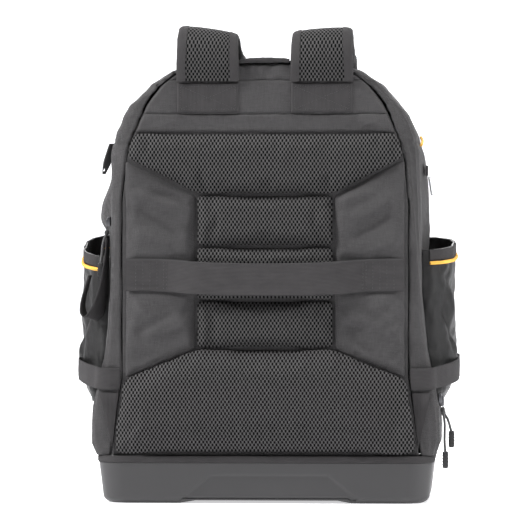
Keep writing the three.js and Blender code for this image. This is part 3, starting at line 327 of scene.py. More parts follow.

# %% [markdown]
# The pads are covered with spacer mesh, a thick knit with rows of upright oval holes, every row shifted by
# half a hole. The product of two waves peaks at exactly those places, and where it is high the knit opens.
# Holes are painted and pressed in rather than cut, because a few thousand cut holes would weigh more than all
# the other pieces; their black is painted shade in the hollow under the knit. The knit is also painted
# lighter on its crests between the holes, as painted light, and darker towards them, as painted shade.

# %% Spacer mesh
HOLE_PITCH = 4.26 * MM
ROW_PITCH = 3.27 * MM


def spacer_mesh_finish(name, coordinates):
    finish = Finish(name, roughness=0.85, specular=0.15)
    x, y, z = finish.place(coordinates)
    across, along = (x, z) if coordinates == "Object" else (x, y)
    drift = finish.noise(across * 60, along * 60, 2.0) - 0.5
    column = across / HOLE_PITCH + drift * 0.3
    row = along / (2 * ROW_PITCH) + drift * 0.15
    opening = (column * (2 * math.pi)).sine() * (row * (2 * math.pi)).sine()
    knit = 1 - opening.step(-0.03, 0.27)
    crown = 1 - opening.step(-0.5, 0.1)
    fuzz = finish.noise(across * 900, along * 900, 3.0)
    # Crests between the holes are painted lighter: painted light on the crests and painted shade towards the
    # holes; fuzz is the knit's random tone.
    lit = finish.mix(crown * 0.25 + fuzz * 0.75, linear(38, 37, 38), linear(80, 79, 79))
    # The holes take pure black: painted shade in the hollow under the knit.
    finish.connect("Base Color", finish.mix(knit, linear(0, 0, 0), lit))
    finish.connect("Roughness", 0.95 - 0.25 * knit)
    finish.bump(knit * 0.7 + crown * 0.2 + fuzz * 0.1, 0.9 * MM)
    return finish


pad_mesh = spacer_mesh_finish("spacer_mesh_pads", "Object")
strap_mesh = spacer_mesh_finish("spacer_mesh_straps", "UV")
print("holes:", HOLE_PITCH / MM, "by", ROW_PITCH / MM, "mm")

# %% [markdown]
# Webbing is woven with the yarns bundled into ribs along its length, and crossed by a fine slanting
# pick. Its pattern has to bend with the strap, so it reads the piece's own UV map, which holds metres
# across and along. The binding tape is the same idea, finer and flatter.

# %% Webbing and binding
def webbing_finish(name, dark, light, rib, pick, relief):
    finish = Finish(name, specular=0.35)
    across, along, _ = finish.place("UV")
    ribs = abs((across * (math.pi / rib)).sine())
    picks = abs(((along + abs((across / rib) % 2 - 1) * pick) * (math.pi / pick)).sine())
    height = ribs * 0.55 + picks * 0.45
    worn = finish.noise(across * 120, along * 60, 1.0, detail=4.0)
    # Tops of the ribs and picks are painted lighter and the grooves darker: painted shade in the grooves,
    # mixed with random wear.
    shade = (height * 0.6 + worn * 0.6 - 0.1).step(0.0, 1.0)
    finish.connect("Base Color", finish.mix(shade, dark, light))
    finish.connect("Roughness", 0.74 + 0.2 * worn)
    finish.bump(height, relief)
    return finish


webbing = webbing_finish("webbing", linear(18, 17, 18), linear(58, 56, 57), 1.5 * MM, 1.3 * MM, 0.35 * MM)
FINE_WEAVE = (0.9 * MM, 0.8 * MM, 0.2 * MM)  # rib, pick and relief of the tapes
binding = webbing_finish("binding", linear(20, 19, 20), linear(56, 54, 55), *FINE_WEAVE)
piping = webbing_finish("yellow_piping", linear(190, 128, 34), linear(250, 196, 92), *FINE_WEAVE)

# %% [markdown]
# Seams only look sewn when the thread shows. Stitches are small real lozenges of a thread that is a little
# darker than the cloth, with the twist of the thread as a fine relief, painted lighter on its ridges as a
# painted highlight.

# %% Thread
def thread_finish(name, colour, tint):
    finish = Finish(name, roughness=0.7, sheen=0.3)
    x, y, z = finish.place()
    twist = abs(((x + y + z) * (math.pi / (0.5 * MM))).sine())
    # The twist's ridges take the lighter colour: a painted highlight along the thread.
    finish.connect("Base Color", finish.mix(twist, colour, tint))
    finish.bump(twist, 0.1 * MM)
    return finish


thread = thread_finish("thread", linear(8, 8, 8), linear(34, 33, 34))

# %% [markdown]
# The tray is moulded in a spark-eroded mould, which leaves a fine even grain and a broad, slightly
# cloudy shine. Rubber pulls are darker, the teeth of the zip are smoother, and the ring and the sliders
# are plated steel with faint scratches. The floor glows a little, so that it stays white in dim light.

# %% Hard finishes
def moulded_finish(name, dark, light, roughness, grain):
    finish = Finish(name, specular=0.5)
    x, y, z = finish.place()
    fine = finish.noise(x * grain, y * grain, z * grain, detail=3.0)
    cloudy = finish.noise(x * 18, y * 18, z * 18, detail=4.0)
    finish.connect("Base Color", finish.mix(fine * 0.35 + cloudy * 0.65, dark, light))
    finish.connect("Roughness", roughness + 0.16 * (cloudy - 0.5) + 0.1 * fine)
    finish.bump(fine, 0.12 * MM)
    return finish


def steel_finish(name, dark, light, roughness):
    finish = Finish(name, metallic=1.0, roughness=roughness)
    x, y, z = finish.place()
    scratches = finish.noise(x * 900, y * 900, z * 60, detail=3.0)
    finish.connect("Base Color", finish.mix(scratches, dark, light))
    finish.connect("Roughness", roughness + 0.2 * (scratches - 0.5))
    finish.bump(scratches, 0.04 * MM)
    return finish


base_plastic = moulded_finish("base_plastic", linear(29, 28, 29), linear(49, 48, 49), 0.42, 1500)
rubber = moulded_finish("rubber", linear(16, 16, 17), linear(34, 33, 34), 0.45, 1100)
coil_plastic = moulded_finish("coil_plastic", linear(12, 12, 13), linear(40, 39, 40), 0.35, 1300)
steel = steel_finish("steel", linear(186, 187, 190), linear(226, 227, 230), 0.4)
dark_steel = steel_finish("dark_steel", linear(60, 60, 62), linear(110, 110, 113), 0.35)
paper = moulded_finish("studio_floor", linear(236, 236, 238), linear(242, 242, 244), 0.8, 300)
paper.shader.inputs["Emission Color"].default_value = linear(250, 250, 252)
paper.shader.inputs["Emission Strength"].default_value = 0.58

# %% [markdown]
# The bag stands on a pale sweep: a floor that curves up into a wall behind it, so that no horizon line
# cuts the picture. One edge of vertices is extruded along a profile with an arc in it.

# %% Studio sweep
SWEEP_HALF = 3.2
SWEEP_NEAR = -4.5
SWEEP_FAR = 2.6
SWEEP_BEND = 1.6
SWEEP_TOP = 4.6


def points_in(geometry):
    return [item for item in geometry if isinstance(item, bmesh.types.BMVert)]


def studio_sweep():
    bm = bmesh.new()
    ends = [bm.verts.new((side * SWEEP_HALF, SWEEP_NEAR, 0)) for side in (-1, 1)]
    edge = bm.edges.new(ends)
    steps = 16
    arc = [math.pi / 2 * k / steps for k in range(steps + 1)]
    profile = [(SWEEP_FAR + SWEEP_BEND * math.sin(a), SWEEP_BEND * (1 - math.cos(a))) for a in arc]
    for y, z in [*profile, (SWEEP_FAR + SWEEP_BEND, SWEEP_TOP)]:
        edge = bmesh.ops.extrude_edge_only(bm, edges=[edge])["geom"]
        for vert in points_in(edge):
            vert.co.y, vert.co.z = y, z
        edge = next(item for item in edge if isinstance(item, bmesh.types.BMEdge))
    bmesh.ops.recalc_face_normals(bm, faces=bm.faces)
    mesh = bpy.data.meshes.new("studio_sweep")
    bm.to_mesh(mesh)
    bm.free()
    mesh.materials.append(paper.material)
    for polygon in mesh.polygons:
        polygon.use_smooth = True
    sweep = bpy.data.objects.new("studio_sweep", mesh)
    bpy.context.collection.objects.link(sweep)
    sweep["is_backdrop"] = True


studio_sweep()

# %% [markdown]
# Every piece ends the same way: its mesh becomes an object, takes its finish, rides on the only body and
# hides the frame node that it stands for. Creases that are sharper than a limit are marked, so that
# smooth shading does not round them.

# %% Making a piece
CREASE = math.radians(38)


def recalculated(bm):
    bmesh.ops.remove_doubles(bm, verts=bm.verts, dist=0.01 * MM)
    bmesh.ops.recalc_face_normals(bm, faces=bm.faces)
    return bm


def piece(name, bm, finish, slot, *nodes, crease=CREASE):
    for edge in bm.edges:
        edge.smooth = edge.calc_face_angle(0) < crease
    for face in bm.faces:
        face.smooth = True
    mesh = bpy.data.meshes.new(name)
    bm.to_mesh(mesh)
    bm.free()
    mesh.materials.append(finish.material)
    made = bpy.data.objects.new(name, mesh)
    bpy.context.collection.objects.link(made)
    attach(made, "root")
    if nodes:
        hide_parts(*nodes)
    print(name, len(mesh.polygons), "faces")
    return made


def thickened(made, thickness, offset=-1.0):
    """Gives an open skin its wall, inwards for an offset of -1."""
    wall = made.modifiers.new("wall", "SOLIDIFY")
    wall.thickness = thickness
    wall.offset = offset
    wall.use_quality_normals = True
    return made


def cloth_skin(name, bm, node, thickness):
    return thickened(piece(name, recalculated(bm), body_cloth, "body_cloth", node), thickness)


# %% [markdown]
# A cloth skin can be laid over the frame's solid as paper is laid over a mould. A flat grid gives the
# faces, and a function gives each of its points a place. Where the place comes from a ray shot at the
# frame's own surface, the skin lies exactly where the node does, however finely it is divided.

# %% Grids and rays
def mapped(bm, metres):
    """Adds a UV map that holds metres; metres(vert) gives both of them."""
    layer = bm.loops.layers.uv.new("metres")
    for face in bm.faces:
        for loop in face.loops:
            loop[layer].uv = metres(loop.vert)
    return bm


def laid_grid(place, columns, rows, metres=None):
    """A grid whose point at shares (u, v) lies at place(u, v); metres(u, v) gives its UV map."""
    bm = bmesh.new()
    bmesh.ops.create_grid(bm, x_segments=columns, y_segments=rows, size=1)
    shares = {vert: ((vert.co.x + 1) / 2, (vert.co.y + 1) / 2) for vert in bm.verts}
    for vert, (u, v) in shares.items():
        vert.co = place(u, v)
    return mapped(bm, lambda vert: metres(*shares[vert])) if metres else bm


def surface_of(*names):
    """A search tree over the triangles of frame nodes, for rays to hit."""
    points, faces = [], []
    for name in names:
        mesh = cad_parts[name].data
        first = len(points)
        points += [vert.co.copy() for vert in mesh.vertices]
        faces += [[first + index for index in polygon.vertices] for polygon in mesh.polygons]
    return BVHTree.FromPolygons(points, faces)


RAY_START = 0.7
ARCH_LEG = 0.3  # share of the arch's way that each upright side takes


def arch_ray(share, low, pivot):
    """Start in X and Z, and direction, of the ray that meets the arch at a share of the way round it."""
    if share < ARCH_LEG:
        return (-RAY_START, low + (pivot - low) * share / ARCH_LEG), (1, 0)
    if share > 1 - ARCH_LEG:
        return (RAY_START, low + (pivot - low) * (1 - share) / ARCH_LEG), (-1, 0)
    turn = math.pi * (1 - (share - ARCH_LEG) / (1 - 2 * ARCH_LEG))
    away = (math.cos(turn), math.sin(turn))
    return (RAY_START * away[0], pivot + RAY_START * away[1]), (-away[0], -away[1])


def arch_point(tree, share, y, low, pivot):
    """The outermost point there; a ray that slips between two triangles is shot again beside it."""
    (x, z), (along_x, along_z) = arch_ray(share, low, pivot)
    for nudge in (0, 0.02 * MM, -0.02 * MM, 0.3 * MM, -0.3 * MM, 1.0 * MM):
        hit = tree.ray_cast(Vector((x, y + nudge, z + nudge)), Vector((along_x, 0, along_z)))[0]
        if hit is not None and (hit.x * x > 0 or abs(x) < 0.2) and hit.z > -1 * MM:
            return Vector((hit.x, y, hit.z))
    raise ValueError(f"no cloth at share {share:.3f}, depth {y / MM:.1f} mm")


# %% [markdown]
# No cloth is perfectly taut. Soft noise moves a skin along its normals by a millimetre or so, finer
# noise adds the small unevenness between threads, and named folds add the creases that the real bag
# shows. A fold is a ridge or a valley along a line, fading out at both ends.

# %% Wrinkles and folds
def smooth_share(value, low, high):
    share = min(1.0, max(0.0, (value - low) / (high - low)))
    return share * share * (3 - 2 * share)


def hump(value, rise, full, fall, gone):
    """0 before rise, 1 from full to fall, and 0 again from gone."""
    return smooth_share(value, rise, full) * (1 - smooth_share(value, fall, gone))


def crumple(bm, height, size, seed, stretch=(1, 1, 1), only=None):
    """Moves points along their normals by up to about height, in waves about as long as size."""
    bm.normal_update()
    moves = {}
    for vert in bm.verts:
        if only and not only(vert):
            continue
        at = Vector([c / (size * s) for c, s in zip(vert.co, stretch)]) + Vector((seed, 0, -seed))
        soft = noise.fractal(at, 0.8, 2.1, 3)
        crease = 1 - abs(noise.noise(at * 0.9 + Vector((7.3, seed, 0)))) * 2.2
        moves[vert] = vert.normal * height * (0.7 * soft + 0.5 * crease - 0.25)
    for vert, move in moves.items():
        vert.co += move
    return bm


def fold_height(x, z, start, end, width, height):
    """Height of one fold at a place on the back; start and end are (x, z)."""
    line = Vector(end) - Vector(start)
    offset = Vector((x, z)) - Vector(start)
    along = max(0.0, min(1.0, offset.dot(line) / line.length_squared))
    away = (offset - line * along).length / width
    return height * hump(along, -0.02, 0.25, 0.7, 1.02) * math.exp(-away * away)


def raise_folds(bm, folds):
    for vert in bm.verts:
        vert.co.y -= sum(fold_height(vert.co.x, vert.co.z, *fold) for fold in folds)

# %% [markdown]
# The back panel is the flat cloth that all the padding is sewn to. Only its rim and the channels
# between the pads show. Its grid runs from the turned-in edge, over a small rounding, to the middle of
# its foot: the first rows follow the seam's arch and the others shrink towards one point, where they
# all but meet.

# %% Back panel
BODY_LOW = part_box("main_compartment")[0].z
PANEL_LOW, PANEL_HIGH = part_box("back_panel")
BODY_PIVOT = 330 * MM
PANEL_EDGE = 1.2 * MM
PANEL_TURN = 0.2  # share of the rows that turn over the edge
PANEL_HALF = 170 * MM
ARCH_LOW = BODY_LOW + 0.1 * MM


def on_arch(tree, share, y, pivot=BODY_PIVOT):
    return arch_point(tree, share, y, ARCH_LOW, pivot)


def back_panel():
    tree = surface_of("back_panel")
    middle = (PANEL_LOW.y + PANEL_HIGH.y) / 2
    rim = {}

    def place(u, v):
        if u not in rim:
            rim[u] = on_arch(tree, u, middle)
        turned = smooth_share(v, 0, PANEL_TURN)
        inwards = max(0.0, (v - PANEL_TURN) / (1 - PANEL_TURN)) * 0.998
        depth = PANEL_HIGH.y + (PANEL_LOW.y - PANEL_HIGH.y) * math.sin(turned * math.pi / 2)
        edge = PANEL_EDGE * (1 - math.cos(turned * math.pi / 2))
        at = rim[u]
        shrink = (1 - inwards) * (1 - edge / PANEL_HALF)
        return Vector((at.x * shrink, depth, BODY_LOW + (at.z - BODY_LOW) * shrink))

    bm = laid_grid(place, 160, 34)
    crumple(bm, 0.5 * MM, 30 * MM, 3.1, only=lambda vert: vert.co.y < PANEL_LOW.y + 1 * MM)
    return bm


cloth_skin("back_panel", back_panel(), "back_panel", 1.5 * MM)

# %% [markdown]
# The gusset is the rounded strip that turns from the back panel to the sides. It is cut from two pieces,
# joined by a level seam a little below the shoulders, where the cloth is pinched by a millimetre. Cloth
# that goes round a bend gathers on its short edge, so the ripples grow towards the seam at the top.

# %% Gusset
GUSSET_LOW, GUSSET_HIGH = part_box("back_gusset")
GUSSET_SEAM_Z = 408 * MM
GUSSET_LIP = 0.12  # share of the rows that turn in to the back panel's seam
INSET = 0.05 * MM


def gathered(at, reach, height, length):
    """Ripples across a bend: they fade with the distance from the gathered edge."""
    angle = math.atan2(at.z - BODY_PIVOT, at.x)
    shoulder = smooth_share(at.z, BODY_PIVOT + 30 * MM, BODY_PIVOT + 90 * MM)
    wander = noise.noise(Vector((angle * 4, at.y * 30, 0.3)))
    ripple = math.sin(angle * 0.17 / length * 2 * math.pi + 5 * wander)
    return height * shoulder * reach * ripple * (0.6 + 0.6 * noise.noise(Vector((angle * 9, 2, 1))))


def gusset():
    tree = surface_of("back_gusset")
    first, last = GUSSET_LOW.y + INSET, GUSSET_HIGH.y - INSET

    def place(u, v):
        outside = max(0.0, (v - GUSSET_LIP) / (1 - GUSSET_LIP))
        at = on_arch(tree, u, first + (last - first) * outside ** 1.5)
        rolled = max(0.0, 1 - v / GUSSET_LIP)
        if rolled:
            inwards = Vector((-at.x, 0, min(0.0, BODY_PIVOT - at.z))).normalized()
            at = at + inwards * (2.5 * MM * rolled) + Vector((0, 2.2 * MM * rolled ** 2, 0))
        return at

    bm = laid_grid(place, 420, 25)
    bm.normal_update()
    for vert in bm.verts:
        near_edge = 1 - smooth_share(vert.co.y, first, first + 22 * MM)
        pinch = math.exp(-((vert.co.z - GUSSET_SEAM_Z) / (2.2 * MM)) ** 2)
        swell = math.exp(-((vert.co.z - GUSSET_SEAM_Z) / (16 * MM)) ** 2)
        move = gathered(vert.co, near_edge, 1.1 * MM, 13 * MM) + (0.7 * swell - 1.5 * pinch) * MM
        vert.co += vert.normal * move
    crumple(bm, 2.0 * MM, 34 * MM, 11.0, stretch=(1, 1, 2.2))
    return crumple(bm, 0.35 * MM, 9 * MM, 17.0)


cloth_skin("gusset", gusset(), "back_gusset", 2 * MM)

# %% [markdown]
# The zip runs right round between the gusset and the main compartment. Its tape is a narrow skin,
# slightly sunk. The coil on it is real geometry: one small tooth, a squashed six-sided bead, is set
# along the arch some hundreds of times, alternating left and right of the middle as interlocked coils
# do.

# %% Main zip
ZIP_LOW, ZIP_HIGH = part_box("main_zip")
TOOTH_PITCH = 1.7 * MM
TOOTH_SIZE = Vector((0.8, 2.6, 0.9)) * MM


def zip_tape():
    tree = surface_of("main_zip")
    first, last = ZIP_LOW.y + INSET, ZIP_HIGH.y - INSET

    def place(u, v):
        return on_arch(tree, u, first + (last - first) * v)

    def metres(u, v):
        return v * (last - first), u * 1.3

    return laid_grid(place, 260, 6, metres)


def along_arch(tree, y, pitch, fine=900):
    """Places, headings and outward directions at an even pitch along the arch."""
    route = [on_arch(tree, k / fine, y) for k in range(fine + 1)]
    walked = np.cumsum([0] + [(b - a).length for a, b in zip(route, route[1:])])
    for target in np.arange(pitch, walked[-1], pitch):
        k = int(np.searchsorted(walked, target))
        heading = (route[min(k + 1, fine)] - route[k - 1]).normalized()
        share = (target - walked[k - 1]) / (walked[k] - walked[k - 1])
        yield route[k - 1].lerp(route[k], share), heading, Vector((-heading.z, 0, heading.x))


def bead(bm, at, axes, size):
    """A squashed bead of twenty faces, turned to three axes."""
    place = Matrix.Translation(at) @ Matrix(axes).transposed().to_4x4() @ Matrix.Diagonal((*size, 1))
    bmesh.ops.create_icosphere(bm, subdivisions=1, radius=1, matrix=place)


def zip_coil():
    tree = surface_of("main_zip")
    bm = bmesh.new()
    middle = (ZIP_LOW.y + ZIP_HIGH.y) / 2
    for index, (at, heading, out) in enumerate(along_arch(tree, middle, TOOTH_PITCH)):
        side = 1 if index % 2 else -1
        shift = Vector((0, side * 0.8 * MM, 0)) + out * 0.4 * MM
        bead(bm, at + shift, (heading, Vector((0, 1, 0)), out), TOOTH_SIZE)
    return bm


thickened(piece("main_zip_tape", recalculated(zip_tape()), binding, "zip_coil", "main_zip"), 1.2 * MM)
piece("main_zip_coil", zip_coil(), coil_plastic, "zip_coil")

# %% [markdown]
# The main compartment and the compartment on the far side are sagging shells. The same laid grid makes
# both: rows across their depth, then rows that shrink over the far wall to a point at the foot. Soft
# folds that hang from the shoulders, and noise stretched upwards, keep their sides from looking pressed.

# %% Compartments
def shell(node, pivot, columns, depth_rows, cap_rows):
    tree = surface_of(node)
    low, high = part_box(node)
    first, last = low.y + INSET, high.y - INSET
    turn = depth_rows / (depth_rows + cap_rows)

    def place(u, v):
        if v <= turn + 1e-6:
            share = v / turn
            y = first + (last - first) * (1 - max(0.0, 1 - share) ** 1.6)
            return on_arch(tree, u, y, pivot)
        shrink = 1 - (v - turn) / (1 - turn) * 0.985
        edge = on_arch(tree, u, last, pivot)
        x, z = edge.x * shrink, BODY_LOW + 0.2 * MM + (edge.z - BODY_LOW) * shrink
        hit = tree.ray_cast(Vector((x, RAY_START, z)), Vector((0, -1, 0)))[0]
        return hit if hit is not None else Vector((x, last, z))

    return laid_grid(place, columns, depth_rows + cap_rows)


LEFT_FLARE = 10 * MM  # the cloth stands off above the left pocket


def main_compartment():
    bm = shell("main_compartment", BODY_PIVOT, 300, 46, 24)
    for vert in bm.verts:
        if vert.co.x < 0:
            up = hump(vert.co.z, 300 * MM, 324 * MM, 332 * MM, 378 * MM)
            deep = hump(vert.co.y, -66 * MM, -46 * MM, 5 * MM, 38 * MM)
            vert.co.x -= LEFT_FLARE * up * deep
    crumple(bm, 2.4 * MM, 46 * MM, 23.0, stretch=(1, 1, 2.4))
    return crumple(bm, 0.5 * MM, 12 * MM, 29.0)


def front_compartment():
    bm = shell("front_compartment", 280 * MM, 260, 26, 40)
    crumple(bm, 1.8 * MM, 42 * MM, 31.0, stretch=(1, 1, 2.0))
    return crumple(bm, 0.4 * MM, 11 * MM, 37.0)


cloth_skin("main_compartment", main_compartment(), "main_compartment", 2 * MM)
cloth_skin("front_compartment", front_compartment(), "front_compartment", 2 * MM)

# %% [markdown]
# Each pad is foam under spacer mesh, sewn down along its rim, so it is highest in the middle and dives
# to the panel at its seam. A flat grid is trimmed to the pad's outline with one bisecting plane for each
# edge, extruded, and its new side raised by the distance to the rim. Cloth simulation then blows it up
# a little with its rim pinned, which gives the uneven fullness that no formula has.

# %% Pad shape
PANEL_FACE = PANEL_LOW.y - 0.3 * MM
PAD_CELL = 3.2 * MM
RIM_STEP = 0.3
PAD_CREASE = math.radians(80)


def rounded_outline(corners, radius, steps=5):
    """Corners in X and Z, each replaced by a quadratic curve that starts radius away from it."""
    outline = []
    for i, corner in enumerate(corners):
        corner = Vector(corner)
        start = corner + (Vector(corners[i - 1]) - corner).normalized() * radius
        end = corner + (Vector(corners[(i + 1) % len(corners)]) - corner).normalized() * radius
        for k in range(steps + 1):
            share = k / steps
            outline.append(start * (1 - share) ** 2 + corner * 2 * share * (1 - share) + end * share ** 2)
    return outline


def edges_of(outline):
    """Middle of each edge of a convex outline and its outward normal."""
    centre = sum(outline, Vector((0, 0))) / len(outline)
    for a, b in zip(outline, outline[1:] + outline[:1]):
        if (b - a).length < 0.01 * MM:
            continue
        out = Vector((b.y - a.y, a.x - b.x)).normalized()
        middle = (a + b) / 2
        yield middle, out if out.dot(middle - centre) > 0 else -out


def crown(share):
    """Height of a pad's face from its rim, 0, to its full thickness, 1."""
    share = min(1.0, max(0.0, share))
    return RIM_STEP + (1 - RIM_STEP) * (1 - (1 - share) ** 2.4)


def pad_shape(outline, thick, edge):
    edges = list(edges_of(outline))
    low = Vector((min(p.x for p in outline), min(p.y for p in outline)))
    high = Vector((max(p.x for p in outline), max(p.y for p in outline)))
    size, centre = high - low, (low + high) / 2
    bm = bmesh.new()
    columns, rows = round(size.x / PAD_CELL), round(size.y / PAD_CELL)
    across = Matrix.Translation((centre.x, PANEL_FACE, centre.y)) @ Matrix.Rotation(math.pi / 2, 4, "X")
    stretch = Matrix.Diagonal((size.x / 2, size.y / 2, 1, 1))
    bmesh.ops.create_grid(bm, x_segments=columns, y_segments=rows, size=1, matrix=across @ stretch)
    for at, out in edges:
        everything = bm.verts[:] + bm.edges[:] + bm.faces[:]
        plane = {"plane_co": (at.x, PANEL_FACE, at.y), "plane_no": (out.x, 0, out.y)}
        bmesh.ops.bisect_plane(bm, geom=everything, dist=0.02 * MM, clear_outer=True, **plane)
    bmesh.ops.remove_doubles(bm, verts=bm.verts, dist=0.7 * MM)
    face = bmesh.ops.extrude_face_region(bm, geom=bm.faces[:], use_keep_orig=True)["geom"]
    for vert in points_in(face):
        place = Vector((vert.co.x, vert.co.z))
        inwards = min((at - place).dot(out) for at, out in edges)
        vert.co.y = PANEL_FACE - thick * crown(inwards / edge)
    bmesh.ops.recalc_face_normals(bm, faces=bm.faces)
    return bm


# %% [markdown]
# The simulation lets the skin be a few hundredths larger than it starts, so that it has cloth to spare
# and puckers beside its seam, as real padding does. No point may move further than a cap, which keeps
# each pad clear of the strap in front of it. The free points are then smoothed once.

# %% Puffing a pad with cloth pressure
PUFF_FRAMES = 20


def puffed(made, pinned_within, cap, slack):
    """Runs the cloth on a closed pad whose points near the panel are pinned, and keeps the result."""
    mesh = made.data
    start = [vert.co.copy() for vert in mesh.vertices]
    pins = made.vertex_groups.new(name="pins")
    pins.add([v.index for v in mesh.vertices if v.co.y > PANEL_FACE - pinned_within], 1.0, "REPLACE")
    cloth = made.modifiers.new("cloth", "CLOTH")
    settings = {
        "quality": 6, "mass": 0.3, "tension_stiffness": 12, "compression_stiffness": 12,
        "bending_stiffness": 0.4, "use_pressure": True, "uniform_pressure_force": 4.0,
        "shrink_min": -slack, "vertex_group_mass": "pins",
    }
    for name, value in settings.items():
        setattr(cloth.settings, name, value)
    cloth.settings.effector_weights.gravity = 0
    cloth.point_cache.frame_start = 1
    cloth.point_cache.frame_end = PUFF_FRAMES
    for step in range(1, PUFF_FRAMES + 1):
        bpy.context.scene.frame_set(step)
    graph = bpy.context.evaluated_depsgraph_get()
    settled = [vert.co.copy() for vert in made.evaluated_get(graph).data.vertices]
    made.modifiers.remove(cloth)
    made.vertex_groups.remove(pins)
    bpy.context.scene.frame_set(1)
    for vert, before, after in zip(mesh.vertices, start, settled):
        move = after - before
        vert.co = before + (move * (cap / move.length) if move.length > cap else move)
    bm = bmesh.new()
    bm.from_mesh(mesh)
    free = [vert for vert in bm.verts if start[vert.index].y < PANEL_FACE - pinned_within]
    axes = {"use_axis_x": True, "use_axis_y": True, "use_axis_z": True}
    bmesh.ops.smooth_vert(bm, verts=free, factor=0.4, **axes)
    bm.to_mesh(mesh)
    bm.free()
    furthest = max((after - before).length for before, after in zip(start, settled))
    print(made.name, "pushed by up to", round(furthest / MM, 1), "mm, kept", round(cap / MM, 1), "mm")
    return made


def subdivided(made):
    finer = made.modifiers.new("finer", "SUBSURF")
    finer.levels = finer.render_levels = 1
    return made


# %% [markdown]
# Five pads run down the back. The upper one is a wide bar whose lower corners are cut off on a slant,
# three small ones stack along the spine, and the lumbar pad is the largest and thickest. Their outlines
# come from the frame's own boxes, and the slants from where the centre pads end.

# %% The five pads
SEAM_HALF = PANEL_HIGH.x - 12 * MM
CHANNEL = 2 * MM
CENTRE_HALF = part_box("centre_pad_upper")[1].x
upper_low, upper_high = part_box("upper_pad")
lumbar_low, lumbar_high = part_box("lumbar_pad")
UPPER_SHOULDER_Z = 392 * MM
LUMBAR_SHOULDER_Z = 140 * MM


def both_sides(right_side):
    return [*right_side, *[(-x, z) for x, z in reversed(right_side)]]


def pad(name, outline, thick, edge, cap, slack):
    bm = pad_shape(outline, thick, edge)
    made = piece(name, bm, pad_mesh, "spacer_mesh", name, crease=PAD_CREASE)
    puffed(made, 1.6 * MM, cap, slack)
    subdivided(made)


upper_outline = rounded_outline(both_sides([
    (CENTRE_HALF + 1 * MM, upper_low.z),
    (SEAM_HALF - 5 * MM, UPPER_SHOULDER_Z),
    (SEAM_HALF - 13 * MM, upper_high.z),
]), 9 * MM)
pad("upper_pad", upper_outline, 10.5 * MM, 15 * MM, 2.5 * MM, 0.03)

for part in ("upper", "middle", "lower"):
    low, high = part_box(f"centre_pad_{part}")
    outline = rounded_outline(both_sides([(high.x, low.z), (high.x, high.z)]), 6 * MM)
    pad(f"centre_pad_{part}", outline, 10.5 * MM, 13 * MM, 2.2 * MM, 0.03)

lumbar_outline = rounded_outline(both_sides([
    (lumbar_high.x, lumbar_low.z),
    (SEAM_HALF - 2 * MM, LUMBAR_SHOULDER_Z),
    (CENTRE_HALF, lumbar_high.z),
]), 10 * MM)
pad("lumbar_pad", lumbar_outline, 20.5 * MM, 34 * MM, 3.0 * MM, 0.04)

# %% [markdown]
# Between the pads and the seam lie two wings of the body's cloth over thin foam. They pull towards the
# corners of the pads, which leaves slanting soft folds. They are shaped and puffed as the pads are, and
# the folds are pressed in afterwards. Where the luggage strap is sewn over them they are pressed flat.

# %% The two wings
WING_THICK = 5.6 * MM
WING_ROOM = 10.4 * MM
PRESSED_THICK = 4.4 * MM
LUGGAGE_Z = 259 * MM
WING_TOP_Z = UPPER_SHOULDER_Z - 3.5 * MM
WING_LOW_Z = LUMBAR_SHOULDER_Z + 3 * MM
WING_INNER_X = CENTRE_HALF + CHANNEL
# Start and end in X and Z on the right wing, width and height of each fold, in millimetres
RIGHT_FOLDS = [
    ((152, 352), (92, 318), 7, 4.5),
    ((150, 330), (86, 292), 6, -3.6),
    ((156, 300), (112, 284), 8, 3),
    ((82, 214), (140, 196), 9, 3.9),
    ((150, 226), (92, 186), 7, -3),
    ((84, 342), (130, 356), 6, 3.6),
    ((120, 236), (156, 178), 8, 3.3),
]
LEFT_FOLDS = [
    ((-150, 356), (-90, 330), 6, 3.9),
    ((-154, 338), (-88, 300), 7, -3.9),
    ((-152, 312), (-100, 290), 7, 3.3),
    ((-84, 208), (-142, 190), 8, 4.2),
    ((-152, 232), (-96, 194), 9, 2.7),
    ((-86, 346), (-136, 350), 5, -3),
    ((-150, 190), (-96, 216), 6, -3.3),
]


def wing(name, side, folds):
    outline = rounded_outline([
        (side * WING_INNER_X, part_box(name)[0].z + 32 * MM),
        (side * (SEAM_HALF - 4 * MM), WING_LOW_Z),
        (side * (SEAM_HALF - 4 * MM), WING_TOP_Z),
        (side * WING_INNER_X, upper_low.z - 3 * MM),
    ], 5 * MM)
    bm = pad_shape(outline, WING_THICK, 10 * MM)
    made = piece(name, bm, body_cloth, "body_cloth", name, crease=PAD_CREASE)
    puffed(made, 1.4 * MM, 1.6 * MM, 0.03)
    in_metres = [(Vector(a) * MM, Vector(b) * MM, w * MM, h * MM) for a, b, w, h in folds]
    for vert in made.data.vertices:
        inner = smooth_share(PANEL_FACE - vert.co.y, 1.5 * MM, 4 * MM)
        rise = sum(fold_height(vert.co.x, vert.co.z, *fold) for fold in in_metres)
        beyond_strap = smooth_share(abs(vert.co.z - LUGGAGE_Z), 19 * MM, 30 * MM)
        outermost = PANEL_FACE - PRESSED_THICK - (WING_ROOM - PRESSED_THICK) * beyond_strap
        vert.co.y = max(vert.co.y - inner * rise * beyond_strap, outermost)
    subdivided(made)


wing("wing_left", -1, LEFT_FOLDS)
wing("wing_right", 1, RIGHT_FOLDS)

# %% [markdown]
# Straps, webbing and tapes are all one thing to a maker: a section drawn along a route. The route is a
# smooth curve through a few chosen points, the section stays square to it, and the UV map keeps metres
# across and along, so that a woven pattern follows every bend. Curve objects could do this too, but
# they have no such map and no changing width.

